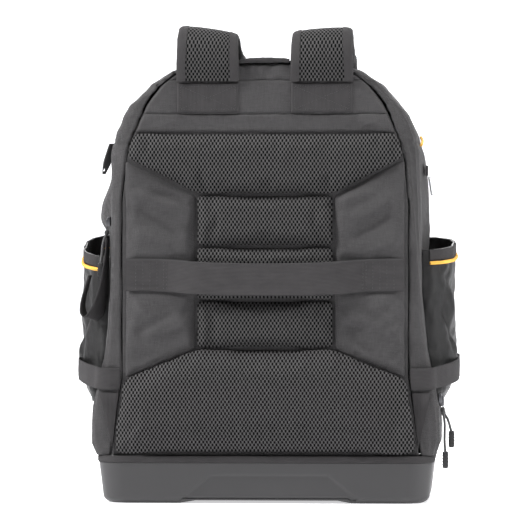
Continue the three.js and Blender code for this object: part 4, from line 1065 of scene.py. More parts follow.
# %% A section along a route
class Route:
    """A centripetal curve through points, with places at shares of its length."""

    def __init__(self, points, fine=40):
        self.points = [Vector(point) for point in points]
        self.places = [self.between(i, k / fine) for i in range(len(points) - 1) for k in range(fine)]
        self.places.append(self.points[-1])
        steps = [(b - a).length for a, b in zip(self.places, self.places[1:])]
        self.walked = np.cumsum([0.0, *steps])
        self.length = float(self.walked[-1])

    def between(self, i, share):
        p1, p2 = self.points[i], self.points[i + 1]
        p0 = self.points[i - 1] if i > 0 else 2 * p1 - p2
        p3 = self.points[i + 2] if i + 2 < len(self.points) else 2 * p2 - p1
        d0, d1, d2 = [(b - a).length ** 0.5 for a, b in ((p0, p1), (p1, p2), (p2, p3))]
        start = ((p1 - p0) / d0 - (p2 - p0) / (d0 + d1) + (p2 - p1) / d1) * d1
        end = ((p2 - p1) / d1 - (p3 - p1) / (d1 + d2) + (p3 - p2) / d2) * d1
        cube = 2 * p1 - 2 * p2 + start + end
        square = -3 * p1 + 3 * p2 - 2 * start - end
        return p1 + start * share + square * share ** 2 + cube * share ** 3

    def at(self, share):
        target = min(1.0, max(0.0, share)) * self.length
        k = min(len(self.places) - 1, max(1, int(np.searchsorted(self.walked, target))))
        gap = self.walked[k] - self.walked[k - 1]
        return self.places[k - 1].lerp(self.places[k], (target - self.walked[k - 1]) / gap if gap else 0)

    def heading(self, share, reach=0.004):
        return (self.at(share + reach) - self.at(share - reach)).normalized()


def section_frame(route, share, facing, roll=0.0):
    """Place, and the directions across and out of a band there."""
    at, along = route.at(share), route.heading(share)
    across = along.cross(facing(at)).normalized()
    across = Matrix.Rotation(roll, 3, along) @ across
    return at, across, across.cross(along).normalized()


def drawn_along(route, section, facing, steps, roll=lambda share: 0.0):
    """A closed band: section(share) gives (across, out) in metres round the section."""
    count = len(section(0.0))
    cache = {}

    def place(u, v):
        if v not in cache:
            cache[v] = (*section_frame(route, v, facing, roll(v)), section(v))
        at, across, out, outline = cache[v]
        x, z = outline[round(u * count) % count]
        return at + across * x + out * z

    def metres(u, v):
        return section(v)[round(u * count) % count][0], v * route.length

    bm = laid_grid(place, count, steps, metres)
    bmesh.ops.remove_doubles(bm, verts=bm.verts, dist=0.005 * MM)
    open_edges = [edge for edge in bm.edges if edge.is_boundary]
    bmesh.ops.holes_fill(bm, edges=open_edges, sides=0)
    bmesh.ops.recalc_face_normals(bm, faces=bm.faces)
    return bm


def band_section(width, thick, steps=10):
    """A flat woven section with rounded selvages."""
    half, edge = width / 2 - thick / 2, thick / 2
    top = [(half - 2 * half * k / steps, edge) for k in range(steps + 1)]
    left = [(-half - edge * math.sin(a), edge * math.cos(a)) for a in (math.pi / 3, 2 * math.pi / 3)]
    low = [(-x, -z) for x, z in top]
    right = [(-x, -z) for x, z in left]
    return [*top, *left, *low, *right]


def pipe_section(radius, sides=12):
    turns = [2 * math.pi * k / sides for k in range(sides)]
    return [(radius * math.cos(turn), radius * math.sin(turn)) for turn in turns]


# %% [markdown]
# The shoulder straps rise from the yoke, arch over the top and lie down the far side, swinging outwards
# to their buckles. The route's points repeat the frame's own, so that the dressed strap lies where its
# solid does. The section is a cushion: flat towards the body, crowned towards the camera, and it starts
# thin where the strap is sewn on.

# %% Route of a shoulder strap
BODY_TOP = GUSSET_HIGH.z
STRAP_X = 64.5 * MM
STRAP_WIDTH = 72 * MM
STRAP_TOP_WIDTH = 69 * MM
STRAP_END_WIDTH = 52 * MM
STRAP_THICK = 14 * MM
STRAP_ROOT_THICK = 5 * MM
STRAP_RISE = 31 * MM
STRAP_END_Z = 196 * MM
STRAP_SPLAY = 62 * MM
BAND_THICK = 2 * MM
MAIN_LOW, MAIN_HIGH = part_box("main_compartment")
FRONT_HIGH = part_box("front_compartment")[1]
POCKET_LOW, POCKET_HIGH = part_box("front_pocket")
FRONT_SWELL = 2 * MM
FRONT_TOP = FRONT_HIGH.z - FRONT_SWELL
YOKE_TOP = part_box("top_panel")[0].z


def strap_points(side):
    half = STRAP_THICK / 2
    root_y = PANEL_FACE - BAND_THICK - 0.3 * MM - STRAP_ROOT_THICK / 2
    rest_z = BODY_TOP + half + 1 * MM
    peak_z = BODY_TOP + STRAP_RISE
    face_y = FRONT_HIGH.y + half + 2 * MM
    pocket_y = POCKET_HIGH.y + half + 1 * MM
    ledge = FRONT_TOP + half
    rows = [
        (0, root_y, YOKE_TOP - 1 * MM),
        (0, root_y - 3 * MM, BODY_TOP - 3 * MM),
        (0, root_y - 1 * MM, peak_z - 13 * MM),
        (0, BACK_Y + half, peak_z - 2 * MM),
        (0, BACK_Y + 3.4 * half, peak_z),
        (0, BACK_Y + 7 * half, peak_z - 6 * MM),
        (0, MAIN_LOW.y + 6 * half, rest_z + 5 * MM),
        (0, MAIN_HIGH.y - 5 * half, rest_z),
        (0, MAIN_HIGH.y, rest_z - 3 * MM),
        (0, MAIN_HIGH.y + 3 * half, (rest_z + ledge) / 2 + 5 * MM),
        (0, FRONT_HIGH.y - half, ledge + 8 * MM),
        (0, face_y, ledge - 3 * half),
        (0.03, face_y + 2 * MM, ledge - 60 * MM),
        (0.12, face_y + 3 * MM, POCKET_HIGH.z + 40 * MM),
        (0.2, (face_y + pocket_y) / 2 + 4 * MM, POCKET_HIGH.z + 14 * MM),
        (0.32, pocket_y + 0.5 * MM, POCKET_HIGH.z - 12 * MM),
        (0.62, pocket_y, (POCKET_HIGH.z + STRAP_END_Z) / 2 - 6 * MM),
        (1, pocket_y, STRAP_END_Z),
    ]
    return [(side * (STRAP_X + STRAP_SPLAY * splay), y, z) for splay, y, z in rows]


def strap_facing(at):
    up = max(0.0, at.z - FRONT_TOP)
    return Vector((0, at.y - (BACK_Y + FRONT_HIGH.y) / 2, up)).normalized()


def strap_width(share):
    narrowing = (STRAP_WIDTH - STRAP_TOP_WIDTH) * smooth_share(share, 0, 0.12)
    return STRAP_WIDTH - narrowing - (STRAP_TOP_WIDTH - STRAP_END_WIDTH) * smooth_share(share, 0.5, 1)


def strap_thickness(share):
    return STRAP_ROOT_THICK + (STRAP_THICK - STRAP_ROOT_THICK) * smooth_share(share, 0, 0.05)


def strap_roll(side, degrees):
    def roll(share):
        return -side * math.radians(degrees) * hump(share, 0.02, 0.1, 0.16, 0.3)
    return roll


# %% [markdown]
# Along both edges the mesh is bound with folded tape, about nine millimetres wide, which stands a little
# proud of the mesh and makes the two raised rims that catch the light. The mesh core is drawn slightly
# thinner than the frame's solid, and the tapes wrap round its edges.

# %% Shoulder straps
TAPE_WIDTH = 9.5 * MM
TAPE_PROUD = 0.7 * MM


def core_size(share):
    """Half width and thickness of the mesh core."""
    return strap_width(share) / 2 - 1.2 * MM, strap_thickness(share) - 1.6 * MM


def strap_front(x, thick):
    """Height of the crowned side, at a share x of the half width."""
    return thick * (0.16 + 0.34 * (1 - abs(x) ** 2.6) ** 0.5)


def strap_back(x, thick):
    return -thick * (0.16 + 0.32 * (1 - abs(x) ** 4) ** 0.5)


def cushion_outline(share):
    """The core's section: (across, out) from one edge to the other and back."""
    half, thick = core_size(share)
    front = [(x * half, strap_front(x, thick)) for x in (-1 + 2 * k / 28 for k in range(29))]
    return front + [(x * half, strap_back(x, thick)) for x in (1 - 2 * k / 14 for k in range(15))]


def tape_outline(side):
    """Folded tape round one edge of the cushion."""
    def section(share):
        half, thick = core_size(share)
        shares = [1 - (TAPE_WIDTH / half) * (1 - k / 8) for k in range(9)]
        outer = [(x * half, strap_front(x, thick) + TAPE_PROUD) for x in shares]
        turn = [(half + TAPE_PROUD, thick * 0.12), (half + TAPE_PROUD, -thick * 0.12)]
        shares = [1 - (TAPE_WIDTH / half) * (k / 6) for k in range(7)]
        inner = [(x * half, strap_back(x, thick) - TAPE_PROUD) for x in shares]
        ends = [(inner[-1][0], -thick * 0.2), (inner[-1][0], thick * 0.2)]
        return [(side * x, z) for x, z in [*outer, *turn, *inner, *ends]]
    return section


def shoulder_strap(name, side, degrees):
    route = Route(strap_points(side))
    roll = strap_roll(side, degrees)
    core = drawn_along(route, cushion_outline, strap_facing, 300, roll)
    strap = piece(f"shoulder_strap_{name}", core, strap_mesh, "spacer_mesh", f"shoulder_strap_{name}")
    for edge, word in ((-1, "inner"), (1, "outer")):
        tape = drawn_along(route, tape_outline(edge * side), strap_facing, 300, roll)
        crumple(tape, 0.5 * MM, 12 * MM, 41.0 + edge)
        piece(f"strap_tape_{name}_{word}", tape, binding, "binding")
    print("shoulder strap", name, round(route.length, 3), "m")


shoulder_strap("left", -1, 8)
shoulder_strap("right", 1, 4)

# %% [markdown]
# Above the pads the panel carries flat cloth: a narrow panel at the top, the yoke that the straps are sewn
# to, and a plain band below it. Each is a sheet whose sides follow the panel's seam, as far as a ray from the
# side finds it at each row. Sheets this thin pucker between their stitches.

# %% Flat bands of the upper back
BAND_CELL = 3 * MM


def seam_half_at(tree, z):
    """Half width of the back panel at a height."""
    hit = tree.ray_cast(Vector((RAY_START, (PANEL_LOW.y + PANEL_HIGH.y) / 2, z)), Vector((-1, 0, 0)))[0]
    return hit.x if hit is not None else 0.0


def flat_band(name, half_limit, bulge):
    """A sheet between its node's heights, as wide as the seam allows, with rolled-in edges."""
    low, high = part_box(name)
    tree = surface_of("back_panel")
    columns, rows = round(2 * high.x / BAND_CELL), max(4, round((high.z - low.z) / (BAND_CELL / 1.5)))

    def place(u, v):
        z = low.z + (high.z - low.z) * v
        half = min(half_limit, seam_half_at(tree, min(z, PANEL_HIGH.z - 1 * MM)) - 2 * MM)
        rim = min(u, 1 - u) * 2 * half
        end = min(v, 1 - v) * (high.z - low.z)
        rolled = smooth_share(min(rim, end), -0.5 * MM, 2.2 * MM)
        return Vector(((2 * u - 1) * half, PANEL_FACE - BAND_THICK * 0.35 - bulge * rolled, z))

    def metres(u, v):
        return (2 * u - 1) * high.x, v * (high.z - low.z)

    return laid_grid(place, columns, rows, metres)


def pucker(bm, seam_z, height, length, seed):
    """Gathers along a level seam, which die out within a short depth."""
    for vert in bm.verts:
        near = math.exp(-(((vert.co.z - seam_z) / (5 * MM)) ** 2))
        wander = noise.noise(Vector((vert.co.x * 25, seed, 0)))
        wave = math.sin(vert.co.x / length * 2 * math.pi + 7 * wander)
        vert.co.y -= height * near * wave * (0.5 + 0.8 * abs(wander))


def backed(made, thickness):
    """Gives a sheet on the back its thickness, towards the panel behind it."""
    return thickened(made, thickness, offset=1.0 if made.data.polygons[0].normal.y > 0 else -1.0)


def sewn_band(name, bulge, gathers, crumpled, folds=()):
    low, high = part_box(name)
    bm = flat_band(name, high.x, bulge)
    area = sum(face.calc_area() for face in bm.faces)
    pucker(bm, *gathers)
    raise_folds(bm, folds)
    crumple(bm, *crumpled)
    made = piece(name, recalculated(bm), body_cloth, "body_cloth", name)
    flat = (high.x - low.x, max(high.z - low.z, area / (high.x - low.x)))
    min(area, flat[0] * flat[1])
    backed(made, 1.2 * MM)


TOP_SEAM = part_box("top_panel")[1].z - 3 * MM
YOKE_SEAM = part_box("yoke_band")[0].z + 2 * MM
LOWER_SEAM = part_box("lower_band")[0].z + 2 * MM
LOWER_FOLDS = [
    ((98 * MM, 436 * MM), (140 * MM, 424 * MM), 4 * MM, 1.5 * MM),
    ((106 * MM, 425 * MM), (136 * MM, 437 * MM), 3 * MM, 1.2 * MM),
    ((-128 * MM, 424 * MM), (-102 * MM, 434 * MM), 4 * MM, 1.0 * MM),
]
# Bulge, then the gathers along its seam, then the noise over the whole band
sewn_band("top_panel", 1.2 * MM, (TOP_SEAM, 0.9 * MM, 15 * MM, 1.7), (1.7 * MM, 15 * MM, 53.0))
sewn_band("yoke_band", 1.4 * MM, (YOKE_SEAM, 0.35 * MM, 9 * MM, 2.2), (1.0 * MM, 24 * MM, 59.0))
lower_gathers = (LOWER_SEAM, 0.45 * MM, 10 * MM, 3.9)
sewn_band("lower_band", 1.4 * MM, lower_gathers, (1.2 * MM, 20 * MM, 61.0), LOWER_FOLDS)

# %% [markdown]
# Thread is laid as real stitches. A lozenge of a few faces is stretched to the length of a stitch,
# turned to the seam's direction and set on the cloth at an even pitch. Rows of them go into one mesh, so
# a seam of hundreds costs a few thousand faces.

# %% Stitches
OUTWARDS = Vector((0, -1, 0))
STITCH_PITCH = 4.0 * MM
STITCH_WIDTH = 0.62 * MM
STITCH_PROUD = 0.15 * MM


def stitch(bm, at, heading, length):
    heading = (heading - OUTWARDS * heading.dot(OUTWARDS)).normalized()
    axes = (heading, OUTWARDS.cross(heading), OUTWARDS)
    bead(bm, at, axes, (length / 2, STITCH_WIDTH / 2, STITCH_WIDTH / 2.6))


trees = {}


def back_y(cloth, x, z):
    """How far out a shown cloth lies at a place on the back, or None beside it."""
    if cloth.name not in trees:
        trees[cloth.name] = BVHTree.FromObject(cloth, bpy.context.evaluated_depsgraph_get())
    hit = trees[cloth.name].ray_cast(Vector((x, -RAY_START, z)), Vector((0, 1, 0)))[0]
    return None if hit is None else hit.y


def stitched_on(bm, cloth, corners, pitch=STITCH_PITCH):
    """Stitches that follow the cloth's own relief between corners given in X and Z."""
    for a, b in zip(corners, corners[1:]):
        count = max(1, round(math.dist(a, b) / pitch))
        for k in range(count):
            ends = []
            for share in ((k + 0.14) / count, (k + 0.86) / count):
                x, z = a[0] + (b[0] - a[0]) * share, a[1] + (b[1] - a[1]) * share
                y = back_y(cloth, x, z)
                if y is not None:
                    ends.append(Vector((x, y - STITCH_PROUD, z)))
            if len(ends) == 2 and (ends[1] - ends[0]).length < 2 * pitch:
                line = ends[1] - ends[0]
                stitch(bm, (ends[0] + ends[1]) / 2, line.normalized(), line.length)


# %% [markdown]
# Each strap is held by a patch of webbing, sewn with the usual boxed cross: a square of stitches with
# both diagonals. The patch is stiff, so it stays flat and only its edges curl slightly.

# %% Strap patches
def strap_patch(name, side):
    low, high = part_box(name)
    rise = high.y - low.y

    def place(u, v):
        x = low.x + (high.x - low.x) * u
        z = low.z + (high.z - low.z) * v
        rim = min(min(u, 1 - u) * (high.x - low.x), min(v, 1 - v) * (high.z - low.z))
        return Vector((x, high.y - rise * smooth_share(rim, -0.8 * MM, 1.6 * MM), z))

    def metres(u, v):
        return u * (high.x - low.x), v * (high.z - low.z)

    bm = laid_grid(place, 44, 24, metres)
    crumple(bm, 0.45 * MM, 16 * MM, 67.0 + side)
    made = piece(name, recalculated(bm), webbing, "webbing", name)
    return backed(made, 1.0 * MM)


PATCH_MARGIN = 4 * MM
PATCH_PITCH = 2.8 * MM
SIDES = (("left", -1), ("right", 1))


def boxed_cross(bm, cloth, low, high):
    left, right = low.x + PATCH_MARGIN, high.x - PATCH_MARGIN
    bottom, top = low.z + PATCH_MARGIN, high.z - PATCH_MARGIN
    box = [(left, bottom), (right, bottom), (right, top), (left, top), (left, bottom)]
    for line in (box, [(left, bottom), (right, top)], [(right, bottom), (left, top)]):
        stitched_on(bm, cloth, line, PATCH_PITCH)


patch_stitches = bmesh.new()
for word, side in SIDES:
    patch = strap_patch(f"strap_patch_{word}", side)
    boxed_cross(patch_stitches, patch, *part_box(f"strap_patch_{word}"))
piece("stitches_patches", patch_stitches, thread, "binding")

# %% [markdown]
# Under the straps the top of the body is finished with a rolled tape. Its middle lies a little higher
# than its ends, and the cloth below is gathered into it.

# %% Top trim
def trim():
    low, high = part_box("top_trim")
    radius = (high.y - low.y) / 2
    points = [(share * high.x, (low.y + high.y) / 2, high.z - radius - 1.5 * MM * share * share)
              for share in (-1, -0.6, -0.2, 0.2, 0.6, 1)]
    bm = drawn_along(Route(points), lambda share: pipe_section(radius, 14), lambda at: OUTWARDS, 60)
    return crumple(bm, 0.5 * MM, 7 * MM, 71.0)


piece("top_trim", trim(), binding, "binding", "top_trim")

# %% [markdown]
# A wide strap crosses the back and slips over a suitcase's handle. It is sewn flat at both ends with six
# upright rows, and hangs free between them with a little sag. Its long edges are folded under, so its
# section is thicker at the rims, and slanting waves tilt its free part by a millimetre.

# %% Luggage strap
LUGGAGE_WIDTH = 38 * MM
LUGGAGE_SAG = 5 * MM
LUGGAGE_FREE = 112 * MM
LUGGAGE_THICK = 1.6 * MM
PADDED_HALF = SEAM_HALF - 4 * MM
SEWN_HEIGHT = 5.46 * MM  # over the panel, on the pressed wings
ROW_PLACES = (111, 114.5, 122, 130, 138, 146)  # of the rows of stitches, in millimetres from the middle


def luggage_route():
    sewn_y = PANEL_FACE - SEWN_HEIGHT - LUGGAGE_THICK / 2
    free_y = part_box("luggage_strap")[0].y + LUGGAGE_THICK / 2
    rows = [
        (PADDED_HALF - 1 * MM, 0, 0),
        ((PADDED_HALF + LUGGAGE_FREE) / 2, 0, 0),
        (LUGGAGE_FREE, 0.06, 0.2),
        (CENTRE_HALF, 0.82, 0.7),
        (CENTRE_HALF / 2, 0.97, 0.95),
    ]
    def along(side):
        return [(side * x, sewn_y + (free_y - sewn_y) * depth, LUGGAGE_Z - LUGGAGE_SAG * sag)
                for x, depth, sag in rows]
    return Route([*along(-1), (0, free_y, LUGGAGE_Z - LUGGAGE_SAG), *reversed(along(1))])


def luggage_section(share):
    outline = []
    for x, z in band_section(LUGGAGE_WIDTH - 1 * MM, LUGGAGE_THICK, 22):
        rim = smooth_share(abs(x), 14.5 * MM, 16 * MM)
        outline.append((x, z * (0.75 + 0.45 * rim)))
    return outline


def luggage_strap():
    route = luggage_route()
    bm = drawn_along(route, luggage_section, lambda at: OUTWARDS, 200)
    waves = [(-60, 0.9, 20), (10, 0.7, 26), (74, 1.0, 18)]
    for vert in bm.verts:
        if abs(vert.co.x) < LUGGAGE_FREE:
            middle = (vert.co.z - LUGGAGE_Z + 3 * MM) / LUGGAGE_WIDTH
            for x, height, width in waves:
                near = math.exp(-(((vert.co.x - x * MM - middle * 14 * MM) / (width * MM)) ** 2))
                vert.co.y -= height * MM * near * (0.5 - middle)
    crumple(bm, 0.6 * MM, 30 * MM, 73.0)
    return route, bm


luggage_line, luggage_bm = luggage_strap()
luggage = piece("luggage_strap", luggage_bm, webbing, "webbing", "luggage_strap")
strap_ends = bmesh.new()
for side in (-1, 1):
    for place in ROW_PLACES:
        x = side * place * MM
        stitched_on(strap_ends, luggage, [(x, LUGGAGE_Z - 17 * MM), (x, LUGGAGE_Z + 15.5 * MM)])
piece("stitches_luggage_strap", strap_ends, thread, "binding")

# %% [markdown]
# Webbing from the buckles runs round both side pockets and is sewn to the lower corners of the back,
# where a triangular tab ties it down. It bends in two directions at once, so the direction that its face
# looks in turns round the bag as it goes.

# %% Side webbing
WEB_WIDTH = 25 * MM
WEB_THICK = 1.6 * MM
WEB_TAB_Z = 141 * MM
WEB_SIDE_Z = 152 * MM
POCKET_REACH = 215 * MM
POCKET_CENTRE_Y = -8 * MM
POCKET_HALF_LENGTH = 62 * MM
POCKET_FOOT_Z = 114 * MM
BASE_CENTRE_Y = -5 * MM
FRONT_HALF = 168 * MM
LOCK_LENGTH = 40 * MM
body_tree = surface_of("main_compartment", "main_zip", "back_gusset")


def body_half_at(z):
    """Half width of the body at the gusset, at a height."""
    at = Vector((RAY_START, GUSSET_HIGH.y - 2 * MM, z))
    return body_tree.ray_cast(at, Vector((-1, 0, 0)))[0].x


def away_from_body(at):
    x = at.x / POCKET_REACH
    y = (at.y - BASE_CENTRE_Y) / (POCKET_HIGH.y - BASE_CENTRE_Y)
    return Vector((x ** 3, y ** 3, 0)).normalized()


def strap_end(side):
    points = [Vector(point) for point in strap_points(side)]
    heading = points[-1] - points[-2]
    heading.y = 0
    return points[-1], heading.normalized()


def webbing_points(side):
    end, heading = strap_end(side)
    lock = end + heading * (STRAP_THICK / 8 + 0.6 * MM + LOCK_LENGTH)
    clear_x = POCKET_REACH + WEB_THICK / 2 + 1 * MM
    corner_x = body_half_at(WEB_TAB_Z)
    proud = WEB_THICK / 2 + 1.9 * MM
    near = POCKET_CENTRE_Y - POCKET_HALF_LENGTH
    return [
        (side * (SEAM_HALF + 3 * MM), BACK_Y - WEB_THICK / 2 - 0.6 * MM, WEB_TAB_Z),
        (side * (corner_x - 12 * MM), BACK_Y - proud, WEB_TAB_Z),
        (side * corner_x, BACK_Y + 1 * MM, WEB_TAB_Z + 1 * MM),
        (side * (corner_x + 5 * MM), BACK_Y + 12 * MM, WEB_TAB_Z + 2 * MM),
        (side * (POCKET_REACH - 8 * MM), near - 4 * MM, WEB_SIDE_Z - 6 * MM),
        (side * clear_x, POCKET_CENTRE_Y - POCKET_HALF_LENGTH * 0.6, WEB_SIDE_Z - 2 * MM),
        (side * clear_x, POCKET_CENTRE_Y, WEB_SIDE_Z),
        (side * clear_x, POCKET_CENTRE_Y + POCKET_HALF_LENGTH * 0.6, WEB_SIDE_Z + 2 * MM),
        (side * (POCKET_REACH - 12 * MM), MAIN_HIGH.y + 20 * MM, WEB_SIDE_Z + 4 * MM),
        (side * (FRONT_HALF + 12 * MM), FRONT_HIGH.y + 2 * MM, WEB_SIDE_Z + 2 * MM),
        tuple(lock + heading * WEB_WIDTH / 2),
        tuple(lock),
    ]


def side_webbing(name, side):
    route = Route(webbing_points(side))
    bm = drawn_along(route, lambda share: band_section(WEB_WIDTH, WEB_THICK), away_from_body, 260)
    crumple(bm, 0.7 * MM, 24 * MM, 79.0 + side)
    made = piece(f"side_webbing_{name}", bm, webbing, "webbing", f"side_webbing_{name}")
    print("webbing", name, round(route.length, 3), "m")


for word, side in SIDES:
    side_webbing(word, side)

# %% [markdown]
# A tab of folded webbing ties the sewn end of the side webbing to the body's lower corner. It is a flat
# shape with five corners: one face, given its thickness, with its rim rounded by a bevel.

# %% Corner tabs
def bevelled(bm, edges, radius, segments, clamped=False):
    bmesh.ops.bevel(bm, geom=edges, offset=radius, segments=segments, affect="EDGES", profile=0.5,
                    material=-1, clamp_overlap=clamped)


def corner_tab(name, side):
    low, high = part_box(f"corner_tab_{name}")
    near, far = (low.x, high.x) if side > 0 else (high.x, low.x)
    foot = near + (far - near) * 0.32
    corners = [
        (near, high.z), (foot - side * 2 * MM, low.z + 20 * MM), (foot, low.z),
        (foot + side * 7 * MM, low.z + 30 * MM), (far, high.z),
    ]
    bm = bmesh.new()
    bm.faces.new([bm.verts.new((x, high.y, z)) for x, z in corners])
    bmesh.ops.subdivide_edges(bm, edges=bm.edges[:], cuts=6, use_grid_fill=True)
    raised = bmesh.ops.extrude_face_region(bm, geom=bm.faces[:], use_keep_orig=True)["geom"]
    for vert in points_in(raised):
        vert.co.y = low.y
    recalculated(bm)
    rim = [edge for edge in bm.edges if edge.calc_face_angle(0) > 1]
    bevelled(bm, rim, 0.5 * MM, 2)
    mapped(bm, lambda vert: (vert.co.x, vert.co.z))
    piece(f"corner_tab_{name}", bm, webbing, "webbing", f"corner_tab_{name}")


for word, side in SIDES:
    corner_tab(word, side)

# %% [markdown]
# The side pockets are flat pouches of coated cloth, sewn to the body along their foot and both ends,
# so each is a bulging wall round a hollow. The wall is a laid grid again: one direction follows the
# pocket's length, from seam to seam, and the other climbs from the foot to the rim. The cloth is stiff,
# and creases in long slanting dents.

# %% Side pockets
POCKET_REACH_TOP = 212 * MM
POCKET_WALL = 2.5 * MM
RIMS = {"left": (-1, 279 * MM, 304 * MM), "right": (1, 287 * MM, 301 * MM)}
# Heights up the pocket's wall, how far it has left the body, and how far it has drawn in to the rim
POCKET_ROWS = [
    (0, 0, 0), (0.08, 0.6, 0), (0.2, 1, 0), (0.45, 1, 0), (0.75, 1, 0.7), (1, 1, 1),
]


MAIN_MIDDLE_Y = (MAIN_LOW.y + MAIN_HIGH.y - 12 * MM) / 2
half_cache = {}


def beside_body(z, y):
    """Just clear of the body's side, which swells towards the middle of its depth."""
    key = round(z / MM)
    if key not in half_cache:
        at = Vector((RAY_START, MAIN_MIDDLE_Y, key * MM))
        swollen = body_tree.ray_cast(at, Vector((-1, 0, 0)))[0].x
        half_cache[key] = (body_half_at(key * MM), swollen)
    flat, swollen = half_cache[key]
    share = max(0.0, 1 - abs(y - MAIN_MIDDLE_Y) / (MAIN_MIDDLE_Y - MAIN_LOW.y))
    return flat + (swollen - flat) * share + 0.6 * MM


def rim_at(rim, y):
    share = (y - POCKET_CENTRE_Y + POCKET_HALF_LENGTH) / (2 * POCKET_HALF_LENGTH)
    return rim[1] + (rim[2] - rim[1]) * share


def reach_share(spread):
    return max(0.0, 1 - abs(spread) ** 3.2) ** 0.6


def row_between(up):
    for (a, b) in zip(POCKET_ROWS, POCKET_ROWS[1:]):
        if up <= b[0]:
            share = (up - a[0]) / (b[0] - a[0])
            return [p + (q - p) * share for p, q in zip(a, b)]
    return POCKET_ROWS[-1]


def pocket_wall(rim):
    """Place of the pocket's outer face at shares of its length and height."""
    def place(u, v):
        spread = math.sin((2 * u - 1) * math.pi / 2)
        y = POCKET_CENTRE_Y + spread * POCKET_HALF_LENGTH
        _, left_body, drawn = row_between(v)
        z = POCKET_FOOT_Z + (rim_at(rim, y) - POCKET_FOOT_Z) * v
        wall = beside_body(z, y)
        full = POCKET_REACH + (POCKET_REACH_TOP - POCKET_REACH) * drawn
        reach = wall + POCKET_WALL + 1 * MM
        reach += (full - reach) * left_body
        x = wall + max(0.0, reach - wall) * reach_share(spread)
        return Vector((rim[0] * x, y, z))
    return place


# Start and end of each dent in Y and Z, width and depth, in millimetres
POCKET_DENTS = [
    ((-60, 262), (-8, 232), 9, 4.2), ((-64, 226), (-20, 182), 10, 4.6), ((-50, 196), (10, 170), 9, 3.4),
    ((20, 270), (48, 214), 11, 3.4), ((-6, 240), (30, 190), 12, 3.0), ((-58, 288), (-36, 262), 6, 1.6),
    ((-58, 250), (-40, 160), 7, 3.6), ((-44, 236), (-30, 150), 6, -2.2),
]


def side_pocket(name):
    rim = RIMS[name]
    bm = laid_grid(pocket_wall(rim), 130, 110)
    for vert in bm.verts:
        free = smooth_share(abs(vert.co.x) - beside_body(vert.co.z, vert.co.y), 3 * MM, 14 * MM)
        dent = 0.0
        for a, b, width, depth in POCKET_DENTS:
            dent += fold_height(vert.co.y, vert.co.z, Vector(a) * MM, Vector(b) * MM, width * MM, depth * MM)
        vert.co.x -= rim[0] * dent * free
    crumple(bm, 2.2 * MM, 26 * MM, 83.0 + rim[0], stretch=(1, 1, 2.2))
    crumple(bm, 0.4 * MM, 9 * MM, 89.0)
    made = piece(f"side_pocket_{name}", recalculated(bm), coated_cloth, "coated_cloth", f"side_pocket_{name}")
    outwards = made.data.polygons[len(made.data.polygons) // 2].normal.x * rim[0] > 0
    thickened(made, 1.6 * MM, offset=-1.0 if outwards else 1.0)


for word in RIMS:
    side_pocket(word)

# %% [markdown]
# The rim of each pocket is bound with a wide folded tape. A yellow piping is caught in the seam below
# it: a soft cord of cloth, the one bright line on the bag. Both follow the rim as it rises towards the
# far side.

# %% Pocket bindings and piping
RIM_TAPE = 12 * MM
PIPING_RADIUS = 2 * MM
RIM_SPREAD = [-0.97, -0.86, -0.6, -0.2, 0.2, 0.6, 0.86, 0.97]


def rim_points(rim, drop, out):
    points = []
    for spread in RIM_SPREAD:
        y = POCKET_CENTRE_Y + spread * (POCKET_HALF_LENGTH + out)
        wall = beside_body(rim[1] - drop, y)
        x = wall + (POCKET_REACH_TOP + out - wall) * reach_share(spread)
        points.append((rim[0] * x, y, rim_at(rim, y) - drop))
    return points


def away_from_pocket(rim):
    def facing(at):
        return Vector((rim[0] * 0.6, ((at.y - POCKET_CENTRE_Y) / POCKET_HALF_LENGTH) ** 3, 0)).normalized()
    return facing


def rim_band(node, rim, drop, out, section, steps, crumpled, *finish):
    """A tape or cord along a pocket's rim, some way below it and outside it."""
    bm = drawn_along(Route(rim_points(rim, drop, out)), lambda share: section, away_from_pocket(rim), steps)
    crumple(bm, *crumpled)
    piece(node, bm, *finish, node)


for word, rim in RIMS.items():
    rim_band(f"pocket_binding_{word}", rim, RIM_TAPE / 2, WEB_THICK / 2 + 0.6 * MM,
             band_section(RIM_TAPE, WEB_THICK), 140, (0.6 * MM, 12 * MM, 97.0), binding, "binding")
    rim_band(f"pocket_piping_{word}", rim, RIM_TAPE + PIPING_RADIUS + 1 * MM, PIPING_RADIUS + 0.6 * MM,
             pipe_section(PIPING_RADIUS), 160, (0.25 * MM, 8 * MM, 101.0), piping, "yellow_piping")

# %% [markdown]
# The tray is one moulding: sloping walls with a tight rounding at the foot, two feet with a shallow arch
# between them, and a pressed trapezoid in the wall that faces the camera. One grid wraps it all: round
# the tray in one direction, and from the middle of the floor, up the wall, over the rim and down inside
# in the other.

# %% Moulded base
TRAY_LOW, TRAY_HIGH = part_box("base_tray")
TRAY_HALF = Vector((TRAY_HIGH.x, (TRAY_HIGH.y - TRAY_LOW.y) / 2))
TRAY_CORNER = 28 * MM
TRAY_INWARD = 7 * MM
TRAY_ROUNDING = 9 * MM
TRAY_WALL = 3 * MM
FOOT_RISE = 3 * MM
ARCH_HALF = TRAY_HALF.x - TRAY_INWARD - 88 * MM
RELIEF_LOW, RELIEF_HIGH = 9 * MM, 33 * MM
RELIEF_HALF_LOW, RELIEF_HALF_HIGH = 94.5 * MM, 66.5 * MM
RELIEF_SHIFT = 5 * MM
RELIEF_DEPTH = 2.4 * MM
HARD_CREASE = math.radians(50)


